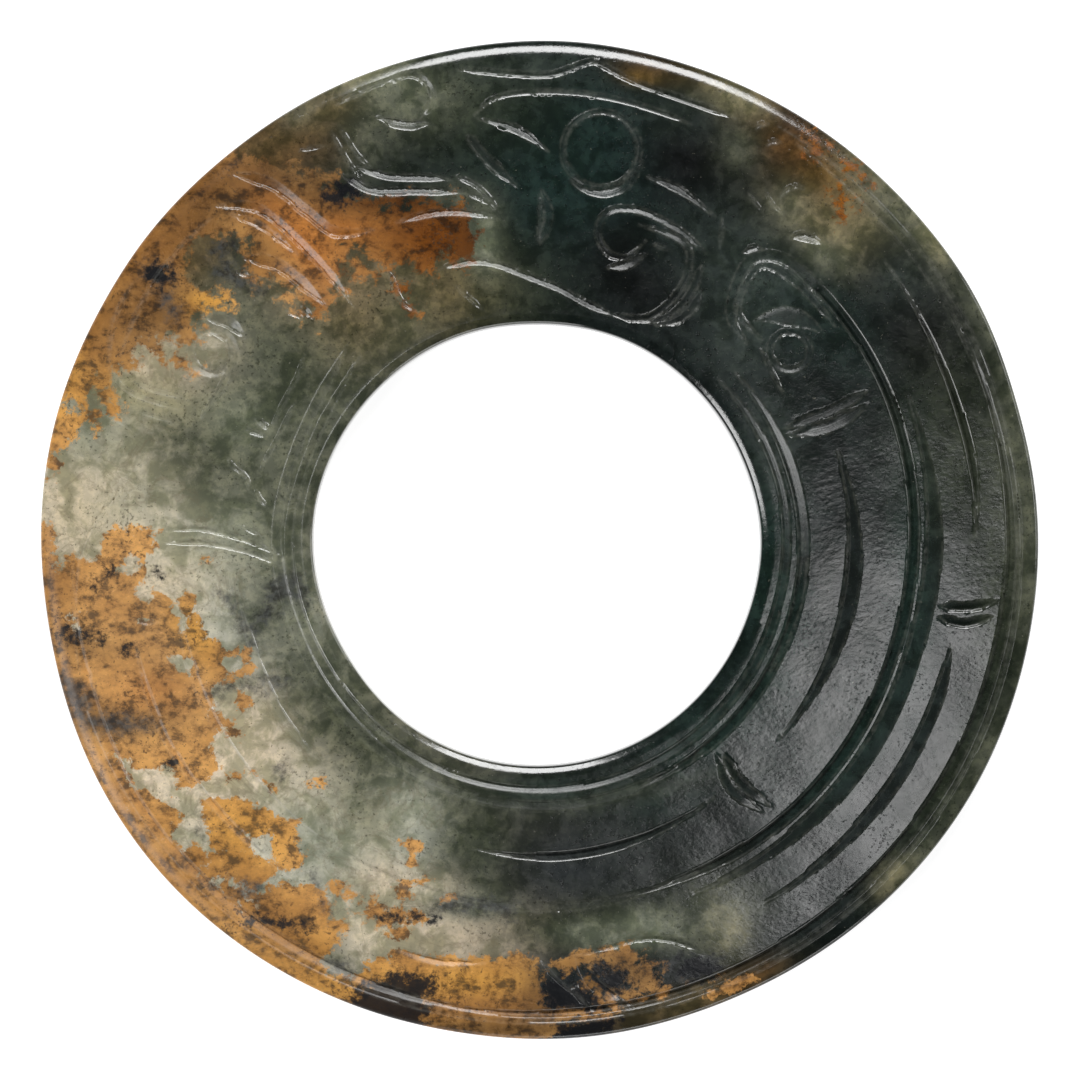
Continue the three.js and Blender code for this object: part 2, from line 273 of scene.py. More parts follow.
# Pairs of short bowed cuts that cross the space between two bands
bowed_pairs = [
    sunk(0.24, cut(1.2, right, [0.2, 0.2], [24.6, 43.2], [24.2, 38], [24.7, 32.6])),
    sunk(0.36, cut(1.6, right, [0.3, 0.3], [22.6, 42.6], [21.7, 37.5], [23, 32.6])),
    sunk(0.46, cut(1.1, right, [0.25, 0.25], [311.1, 42.2], [310, 37.7], [310.7, 33.6])),
    sunk(0.5, cut(1.2, right, [0.3, 0.3], [309.6, 42.2], [307.9, 37.4], [309.7, 33.2])),
    cut(1.2, left, [0.3, 0.15], [352.7, 55.3], [351.4, 52.2], [350.9, 48.8]),
    cut(1.1, left, [0.3, 0.2], [350.8, 55.3], [349.1, 51.8], [349.4, 48.8]),
    cut(0.7, right, [0.2, 0.2], [180.2, 45.6], [180.3, 39.5], [182.4, 34.3], [185.3, 31.3]),
    cut(0.7, right, [0.2, 0.2], [178.4, 45], [177.8, 40.7], [180, 34.6], [183.1, 31.2]),
    cut(0.5, right, [0.3, 0.3], [176.7, 36.1], [177.7, 34.8], [178.9, 33.4]),
]

# The face: the eye is a flat bead in a round cut, with a slanted lid below and
# behind; then brow, temple, the two spear points beside the eye, the nostril,
# the jaw and the creases of the cheek
EYE = [81.05, 47.6]
EYE_RADIUS = 4.7
face = [
    sunk(0.11, round_cut(0.7, [0, 0], EYE, EYE_RADIUS - 0.15)),
    round_cut(1.2, [0.4, 0.4], EYE, EYE_RADIUS + 0.5, 225, 345),
    sunk(0.15, cut(0.6, right, [0.1, 0.1], [98.7, 51.7], [96, 53.4], [86, 54], [70, 53.3])),
    sunk(0.24, cut(1.1, right, [0.1, 0.3], [100.1, 49.6], [97.3, 45.8], [93.7, 42.7])),
    cut(1.05, left, [0.4, 0.4], [98.3, 51.3], [92.8, 49.3], [88.8, 46.9]),
    cut(1, left, [0.3, 0.6], [73.5, 45.6], [69, 45.5], [61.5, 44.3]),
    sunk(0.2, cut(1.1, right, [0.3, 0.2], [89.6, 42.2], [88.4, 38.9], [89.9, 35.8])),
    cut(
        0.8, left, [0.1, 0.1],
        [110, 34.8], [102, 34.3], [91.5, 31.6], [85.4, 30.4], [78, 29], [71.5, 28.55],
    ),
    cut(0.6, right, [0.3, 0.3], [90, 41.6], [89.7, 39.5], [90, 37.5], [90.4, 36]),
    cut(0.6, left, [0.3, 0.3], [108.2, 32.2], [107, 31.2], [105.4, 30], [103.5, 28.5]),
    sunk(0.12, cut(0.5, left, [0.3, 0.3], [60.5, 44.5], [59.5, 43.2], [58.5, 41.5])),
    sunk(0.08, cut(0.5, left, [0.3, 0.3], [69, 38.2], [66, 38.3])),
]

# The curled snout, in broad shallow slants
snout = [
    sunk(0.22, cut(
        0.8, right, [0.1, 0.2],
        [60, 40], [67, 41.1], [75, 41.3], [78.6, 40], [79.2, 37.6], [76.6, 35.6], [73, 35.7],
        [70.4, 38.3],
    )),
    sunk(0.26, cut(1.1, left, [0.3, 0.4], [76, 33.8], [72.5, 34.8], [69.5, 36.8])),
    sunk(0.2, cut(
        0.8, right, [0.1, 0.2],
        [73, 28.7], [68, 28.9], [64, 30], [61.3, 33], [61.1, 37], [63.4, 39.6], [72.5, 39.9],
    )),
    sunk(0.16, cut(1, right, [0.35, 0.1], [66.5, 28.9], [62.5, 29.9], [59.4, 32], [58.6, 35], [59.5, 38.4])),
    sunk(0.26, cut(1.5, left, [0.2, 0.4], [57.5, 36], [57, 34], [58.4, 31.4], [62, 29.4])),
]

# The horn behind the brow, with its curl at the rim
horn = [
    cut(0.6, left, [0.2, 0.3], [115, 57.8], [110, 58.2], [106.5, 58.3]),
    sunk(0.34, round_cut(0.85, [0.12, 0.15], [106.3, 55.6], 2.75, -60, 150)),
    cut(1.3, left, [0.3, 0.3], [110.9, 54.4], [108, 52.6], [104.6, 51.8]),
    cut(0.9, left, [0.1, 0.2], [116, 50], [112.5, 47.4], [103.8, 44.7]),
    cut(1.05, left, [0.1, 0.2], [118.4, 50.3], [115.5, 46.7], [109, 44.5], [102.2, 42.8]),
    cut(0.7, left, [0.1, 0.2], [102.8, 45], [99.6, 43], [96.8, 39.7]),
    cut(0.8, left, [0.2, 0.2], [114, 41.9], [106, 41.1], [97.1, 39.1]),
    cut(0.5, left, [0.2, 0.2], [116.9, 55.2], [116.8, 52.5], [116.5, 50], [115.7, 48]),
    cut(0.5, left, [0.2, 0.2], [115.7, 55.5], [115.4, 52.8], [114.9, 50.6], [114.2, 49.3]),
    cut(0.6, left, [0.3, 0.3], [102, 42.7], [100, 41.9], [98.3, 40.8]),
    cut(
        0.6, left, [0.2, 0.2],
        [119.3, 37.6], [119.2, 36], [119.7, 34.6], [119.7, 33.2], [119, 32.1], [117.9, 31.2],
    ),
    cut(0.45, left, [0.3, 0.3], [121.5, 55], [120, 54.5], [118.5, 54]),
]

# Locks of the crest that stream down behind the horn
crest = [
    cut(1.3, right, [0.15, 0.25], [129.9, 57.6], [126.6, 53.2], [125, 48.2], [123.2, 44.4], [118, 42.3]),
    cut(1.1, right, [0.15, 0.2], [133.9, 55.9], [130.2, 52.4], [128.6, 46], [128, 40], [128.2, 36]),
    cut(0.8, right, [0.2, 0.3], [133.3, 54.2], [131.1, 49.8], [130, 45]),
    cut(1.5, right, [0.2, 0.3], [136.1, 49.3], [133.2, 45.3], [132, 38.2]),
    cut(1.5, right, [0.35, 0.35], [146.1, 48.5], [144.7, 45.5], [145.2, 42.8]),
    cut(0.8, left, [0.2, 0.2], [160, 43.1], [152.5, 42.3], [147.4, 44], [147.2, 46.4], [149, 47.4]),
    sunk(0.1, cut(0.7, left, [0.2, 0.2], [157.6, 56], [159.8, 53], [160, 46])),
    cut(0.7, right, [0.3, 0.3], [138.2, 48.7], [137.5, 47.2]),
    cut(0.6, right, [0.3, 0.3], [137.8, 41.1], [137, 40], [136.4, 38.9]),
    cut(0.8, right, [0.3, 0.3], [135.1, 40.2], [135.3, 38.3]),
    sunk(0.1, cut(0.7, left, [0.2, 0.3], [158.5, 52.4], [158.6, 50], [158.3, 47.5], [158, 45.5])),
    sunk(0.09, cut(0.6, left, [0.2, 0.3], [162, 50.6], [162.1, 48], [162, 45.8])),
    sunk(0.09, cut(0.6, left, [0.2, 0.3], [163.4, 55], [163.9, 53], [164.5, 51])),
    cut(0.7, left, [0.3, 0.3], [159.3, 37.7], [159, 36.5], [159.1, 35.1]),
    cut(0.8, left, [0.3, 0.3], [156.6, 37.3], [157, 36.1], [157.8, 35.1]),
    cut(0.5, left, [0.3, 0.3], [157.5, 55.9], [154, 57.1], [151, 57.7], [147.4, 57.8]),
    cut(0.5, left, [0.3, 0.3], [156, 55], [152, 55.4], [147, 55.7], [140, 55.65], [135.5, 55.3]),
    sunk(0.26, round_cut(0.9, [0, 0], [149.8, 45.3], 2.7)),
]

# Wavering lines on the flank beside the crest
flank = [
    cut(0.6, left, [0.2, 0.2], [165, 38.7], [166.2, 37.8], [167.1, 36.5], [168.3, 35.7], [169.7, 35.5]),
    cut(0.6, left, [0.2, 0.2], [169.6, 34.6], [171.3, 33.9], [172.6, 33]),
    cut(
        0.6, left, [0.2, 0.2],
        [168.5, 48], [171, 50.1], [174, 51.2], [177, 53.2], [180.2, 54.6], [183.5, 55.7], [188, 56.2],
    ),
    cut(0.5, left, [0.3, 0.3], [190.8, 49.6], [191.7, 48.2], [191.9, 47]),
]

# The neck, which curls in on itself where it meets the body band, with a flat
# bead in its curl and short ticks beside it
neck = [
    sunk(0.4, cut(
        1.4, left, [0, 0.2],
        [401, 45.3], [409.5, 44.7], [412.8, 42.7], [413, 40.6], [411.6, 37.6], [409, 35.3],
        [403.5, 34.4],
    )),
    sunk(0.24, cut(
        0.9, left, [0.15, 0.15],
        [396, 43.9], [406, 43.7], [411, 42.7], [411.6, 40.3], [409, 36.4], [402, 36],
    )),
    sunk(0.13, cut(2.4, right, [0.4, 0.4], [45.6, 37.2], [43.4, 39.4], [39.6, 41.4], [36.6, 42.2])),
    cut(1.1, left, [0.4, 0.3], [50.8, 47.1], [48.8, 48.5], [46.4, 49.3]),
    sunk(0.2, round_cut(0.8, [0, 0], [37.3, 37.8], 2.35)),
    sunk(0.13, cut(0.6, left, [0.3, 0.3], [62.3, 55.9], [62.1, 56.6], [61.3, 57.2])),
    sunk(0.13, cut(0.6, left, [0.3, 0.3], [60.1, 54.8], [59.7, 55.6], [58.7, 56])),
    sunk(0.14, cut(0.6, left, [0.3, 0.3], [55, 50.2], [54.8, 51.6], [54.1, 52.6], [53, 53])),
    cut(0.5, left, [0.3, 0.3], [57.2, 50], [55.5, 49.3], [53.5, 49]),
    cut(0.5, left, [0.3, 0.3], [58.8, 48.7], [57, 48.1], [55.8, 47.8]),
    cut(0.8, left, [0.3, 0.3], [54.8, 42.4], [53.6, 43.6], [52.5, 44.2]),
    cut(0.6, left, [0.3, 0.3], [41, 35.2], [36, 34.6], [31, 34.2]),
]

# Scallops under the rim above the head, and the claw at the foot of the ring
borders = [
    cut(0.75, right, [0.15, 0], [99.9, 57.5], [93, 56.2], [88.5, 56.1], [83.6, 58.1]),
    cut(0.75, right, [0, 0.15], [83.6, 58.1], [78.3, 56.4], [72, 55.8], [65, 56]),
    cut(0.8, left, [0.2, 0.2], [292.8, 54], [289.2, 50.8], [285, 49.2], [275, 49.7]),
    cut(1.5, right, [0.3, 0.3], [281.2, 57], [277.6, 54], [275.2, 50.4]),
    cut(0.45, left, [0.2, 0.2], [276.5, 56.6], [274.5, 54.3], [272, 52], [270.3, 50.2]),
]

# Small chips: (x, y, radius, depth)
chips = [(4.2, -53.4, 0.55, 0.3), (0.4, -29.8, 0.3, 0.15)]

carving = [*bands, *leaves, *bowed_pairs, *face, *snout, *horn, *crest, *flank, *neck, *borders]


# ---- The blank ring ----


def rounding(centre, size, start, stop):
    """A quarter of an ellipse, from one corner of the ring's section towards the next."""
    turn = np.linspace(start, stop, ROUNDING_STEPS + 1) * math.pi / 2
    return [(centre[0] + size[0] * math.cos(t), centre[1] + size[1] * math.sin(t)) for t in turn]


def flat(start, stop, height, spacing):
    """Places between two corners, spacing apart, without the corners themselves."""
    count = max(1, round(abs(stop - start) / spacing))
    return [(radius, height) for radius in np.linspace(start, stop, count + 1)[1:-1]]


def ring_section():
    """The section of the ring, from the back's outer edge round the rim, over the face and down the hole."""
    rim_side, hole_side = OUTER_RADIUS - BACK_ROUNDING, HOLE_RADIUS + BACK_ROUNDING
    back = (BACK_ROUNDING, BACK_ROUNDING)
    places = [
        *rounding((rim_side, BACK_ROUNDING), back, -1, 0),
        *[(OUTER_RADIUS - inset, THICKNESS - drop) for inset, drop in RIM_BEVEL],
        *flat(RIM_TOP, HOLE_TOP, THICKNESS, FACE_SPACING),
        *[(HOLE_RADIUS + inset, THICKNESS - drop) for inset, drop in HOLE_BEVEL],
        *rounding((hole_side, BACK_ROUNDING), back, 2, 3),
    ]
    half, valley, depth = BACK_LINE
    start = hole_side
    for middle in BACK_LINES:
        places += flat(start, middle - half, 0, BACK_SPACING)
        places += [(middle - half, 0), (middle - valley, depth), (middle + half, 0)]
        start = middle + half
    return places + flat(start, rim_side, 0, BACK_SPACING)


def swelling(angle, swellings):
    height = np.zeros(len(angle))
    for middle, half_width, peak in swellings:
        away = (angle - middle + 180) % 360 - 180
        height += peak * np.exp(-((away / half_width) ** 2))
    return height


def places_of(verts):
    return np.array([v.co for v in verts], float).reshape(-1, 3)


def move(verts, places):
    for vert, place in zip(verts, places):
        vert.co = place


def polar(places):
    return np.degrees(np.arctan2(places[:, 1], places[:, 0])), np.hypot(places[:, 0], places[:, 1])


def ring_blank():
    """The section spun round the axis, its edges then moved to the hand-ground outline."""
    bm = bmesh.new()
    corners = [bm.verts.new((radius, 0, height)) for radius, height in ring_section()]
    sides = [bm.edges.new(pair) for pair in zip(corners, corners[1:] + corners[:1])]
    bmesh.ops.spin(
        bm, geom=corners + sides, cent=(0, 0, 0), axis=(0, 0, 1), dvec=(0, 0, 0),
        angle=math.tau, steps=SPOKES, use_merge=True, use_duplicate=False,
    )
    bmesh.ops.remove_doubles(bm, verts=bm.verts[:], dist=1e-3)
    bmesh.ops.recalc_face_normals(bm, faces=bm.faces[:])

    verts = bm.verts[:]
    places = places_of(verts)
    angle, radius = polar(places)
    share = np.clip((radius - HOLE_TOP) / (RIM_TOP - HOLE_TOP), 0, 1)
    grown = share * swelling(angle, RIM_SWELLINGS) + (1 - share) * swelling(angle, HOLE_SWELLINGS)
    places[:, :2] *= ((radius + grown) / radius)[:, None]
    places[:, :2] += (1 - share)[:, None] * HOLE_OFFSET
    move(verts, places)
    return bm


# ---- Cutting the grooves ----


def tree_of(points):
    """The points, ready for finding the one that is nearest to a place."""
    tree = kdtree.KDTree(len(points))
    for i, (x, y) in enumerate(points):
        tree.insert((x, y, 0), i)
    tree.balance()
    return tree


def nearest_in(tree, places):
    """For each place, the number of the nearest point."""
    return np.array([tree.find((x, y, 0))[1] for x, y in places], int)


def longest_step(line):
    """How far an edge of the mesh may run along a line at each of its points: less where it bends."""
    turning = np.linalg.norm(np.gradient(headings(line), axis=0), axis=1)
    step = np.linalg.norm(np.gradient(line, axis=0), axis=1)
    bend = np.maximum(turning / np.maximum(step, 1e-6), 1e-3)
    return np.clip(np.sqrt(BEND_ALLOWANCE / bend), *LENGTHWISE_STEPS)


class Arrises:
    """The lines along every groove where its walls begin and meet, ready for finding the nearest one."""

    def __init__(self, grooves, pits):
        lines = []
        for groove in grooves:
            line, size = groove["line"], sizes(groove)
            half, valley, _ = section(groove)
            for offset in (half, -half, valley):
                lines.append(line + leftward(headings(line)) * (offset * size)[:, None])
        for x, y, radius, _ in pits:
            lines += [circle((x, y), radius * share, corners=36) for share in (1, 0.5)]
        self.points = np.concatenate(lines)
        self.along = np.concatenate([headings(line) for line in lines])
        self.reach = np.concatenate([longest_step(line) for line in lines])
        self.tree = tree_of(self.points)

    def nearest(self, places):
        """For each place: the nearest point's number, how far off its line runs, and how far off it is."""
        found = nearest_in(self.tree, places)
        away = places - self.points[found]
        return found, np.abs((away * leftward(self.along[found])).sum(1)), np.linalg.norm(away, axis=1)


def on_face(vert):
    return vert.co.z > FACE_START


def divide_face(bm, arrises):
    """Splits the edges that lie across a groove's lines until the face is fine enough there."""
    faces = [face for face in bm.faces if all(map(on_face, face.verts))]
    bmesh.ops.triangulate(bm, faces=faces, quad_method="ALTERNATE", ngon_method="BEAUTY")
    for _ in range(DIVISIONS):
        edges = [edge for edge in bm.edges if on_face(edge.verts[0]) and on_face(edge.verts[1])]
        start = places_of([edge.verts[0] for edge in edges])[:, :2]
        stop = places_of([edge.verts[1] for edge in edges])[:, :2]
        found, _, away = arrises.nearest((start + stop) / 2)
        heading = arrises.along[found]
        lengthwise = np.abs(((stop - start) * heading).sum(1))
        across = np.abs(((stop - start) * leftward(heading)).sum(1))
        coarsest = COARSENING * away
        too_long = (across > np.maximum(FINEST, coarsest)) | (
            lengthwise > np.maximum(arrises.reach[found], coarsest)
        )
        bmesh.ops.subdivide_edges(
            bm, edges=[edges[i] for i in np.flatnonzero(too_long)], cuts=1,
            use_grid_fill=True, use_single_edge=True,
        )
        wide = [face for face in bm.faces if len(face.verts) > 3 and all(map(on_face, face.verts))]
        bmesh.ops.triangulate(bm, faces=wide, quad_method="SHORT_EDGE", ngon_method="BEAUTY")


def draw_to_arrises(bm, arrises):
    """Moves each corner that is already close to a groove's line onto it, so that the walls meet crisply."""
    verts = [vert for vert in bm.verts if on_face(vert)]
    places = places_of(verts)
    room = DRAWN_SHARE * np.array([min(edge.calc_length() for edge in vert.link_edges) for vert in verts])
    found, off, away = arrises.nearest(places[:, :2])
    near = (away < room + DRAWN_SLACK) & (off < room)
    across = leftward(arrises.along[found])
    side = ((places[:, :2] - arrises.points[found]) * across).sum(1)
    places[:, :2] -= np.where(near, side, 0)[:, None] * across
    move(verts, places)


def near_groove(line, half, flat_places):
    """The numbers of the places that one groove could reach."""
    reach = half + GROOVE_MARGIN
    _, radius = polar(line)
    _, place_radius = polar(flat_places)
    inside = ((flat_places > line.min(0) - reach) & (flat_places < line.max(0) + reach)).all(1)
    inside &= (place_radius > radius.min() - reach) & (place_radius < radius.max() + reach)
    return np.flatnonzero(inside)


def groove_depth(groove, flat_places):
    """How deep one groove cuts at each place, and how far across the groove the place lies.

    One wall is steep and the other is a long, slightly hollow slant.
    """
    line, size = groove["line"], sizes(groove)
    half, valley, full_depth = section(groove)
    depth, across = np.zeros((2, len(flat_places)))
    chosen = near_groove(line, half, flat_places)
    if not len(chosen):
        return depth, across
    found = nearest_in(tree_of(line), flat_places[chosen])
    away = flat_places[chosen] - line[found]
    heading = headings(line)[found]
    side = (away * leftward(heading)).sum(1)
    beyond = np.where((found == 0) | (found == len(line) - 1), np.abs((away * heading).sum(1)), 0)
    here = size[found]
    half, valley = half * here, valley * here
    rise = np.where(side > valley, (half - side) / (half - valley), (side + half) / (valley + half))
    rise = np.clip(rise, 0, 1)
    rise += HOLLOW * rise * (1 - rise)
    depth[chosen] = full_depth * here * rise * np.clip(1 - (beyond - PATH_STEP) / END_RUN_OUT, 0, 1)
    across[chosen] = side
    return depth, across


def carved_depth(flat_places):
    """How deep the deepest cut is at each place, and how far across that cut the place lies."""
    depth, across = np.zeros((2, len(flat_places)))
    for groove in carving:
        one_depth, one_across = groove_depth(groove, flat_places)
        across = np.where(one_depth > depth, one_across, across)
        depth = np.maximum(depth, one_depth)
    for x, y, radius, deep in chips:
        away = np.hypot(flat_places[:, 0] - x, flat_places[:, 1] - y)
        depth = np.maximum(depth, deep * np.clip(CHIP_WALL * (1 - away / radius), 0, 1))
    return depth, across


def hand_polish(flat_places):
    """The low unevenness that polishing by hand leaves on the flats."""
    x, y = flat_places.T
    height = np.zeros(len(x))
    for run, turn, phase, tall in POLISH_WAVES:
        height += tall * np.sin((x * math.cos(turn) + y * math.sin(turn)) * math.tau / run + phase)
    return height - POLISHED_OFF


def carve(bm):
    """Sinks the face to the grooves and marks the arrises sharp.

    Returns how deep the cut is at each vertex, and how far across the cut it lies.
    """
    verts = bm.verts[:]
    places = places_of(verts)
    facing = np.clip((places[:, 2] - BEVEL_FOOT) / CUT_FADE, 0, 1)
    depth, across = np.zeros((2, len(verts)))
    top = facing > 0
    depth[top], across[top] = carved_depth(places[top, :2])
    depth *= facing
    places[:, 2] -= depth
    places[top, 2] += hand_polish(places[top, :2]) * facing[top]
    move(verts, places)
    for edge in bm.edges:
        edge.smooth = edge.calc_face_angle(0) < SHARPEST_ARRIS
    for face in bm.faces:
        face.smooth = True
    return depth, across


# ---- The colours of the stone ----


def linear(red, green, blue):
    """A colour as a painter's scale of 0 to 255, made linear."""
    return [(c / 255 / 12.92) if c < 10 else ((c / 255 + 0.055) / 1.055) ** 2.4 for c in (red, green, blue)]


DEEP_JADE = linear(25, 32, 31)
TEAL = linear(31, 48, 45)
DEEP_GREEN = linear(30, 47, 42)
SOOT_BLACK = linear(17, 18, 19)
BLUE_BLACK = linear(38, 44, 48)
MOSS = linear(60, 66, 50)
GREY_GREEN = linear(62, 70, 66)
SMOKE = linear(94, 97, 82)
SAGE = linear(134, 138, 118)
STRAW = linear(166, 158, 122)
CREAM = linear(232, 213, 185)
BONE = linear(214, 202, 176)
MIST = linear(190, 192, 176)
RUSSET = linear(92, 66, 36)
CHESTNUT_SHADE = linear(62, 44, 32)
UMBER = linear(74, 62, 44)
OLD_GOLD = linear(128, 96, 38)
OLIVE_TAN = linear(112, 98, 68)
SAND = linear(140, 120, 92)
VEIN_BROWN = linear(112, 98, 76)
FLECK = linear(196, 190, 172)
DARK_SMOKE = linear(42, 42, 42)
LIGHT_SMOKE = linear(74, 76, 76)
IRON_BLACK = linear(24, 25, 28)
# Pale grey mixed in along the arrises: their scuffed wear and a painted highlight
SCUFF_AND_GLINT = linear(134, 134, 124)

# The ochre skin's own colours
APRICOT = linear(216, 162, 98)
TAN = linear(198, 154, 104)
HONEY = linear(214, 158, 76)
COPPER = linear(186, 118, 56)
TOFFEE = linear(158, 112, 62)
CHESTNUT = linear(108, 82, 52)
GOLDEN = linear(158, 98, 8)
AMBER = linear(122, 66, 2)
DARK_AMBER = linear(84, 46, 4)
PIT_BROWN = linear(66, 48, 32)

NEPHRITE_IOR = 1.61

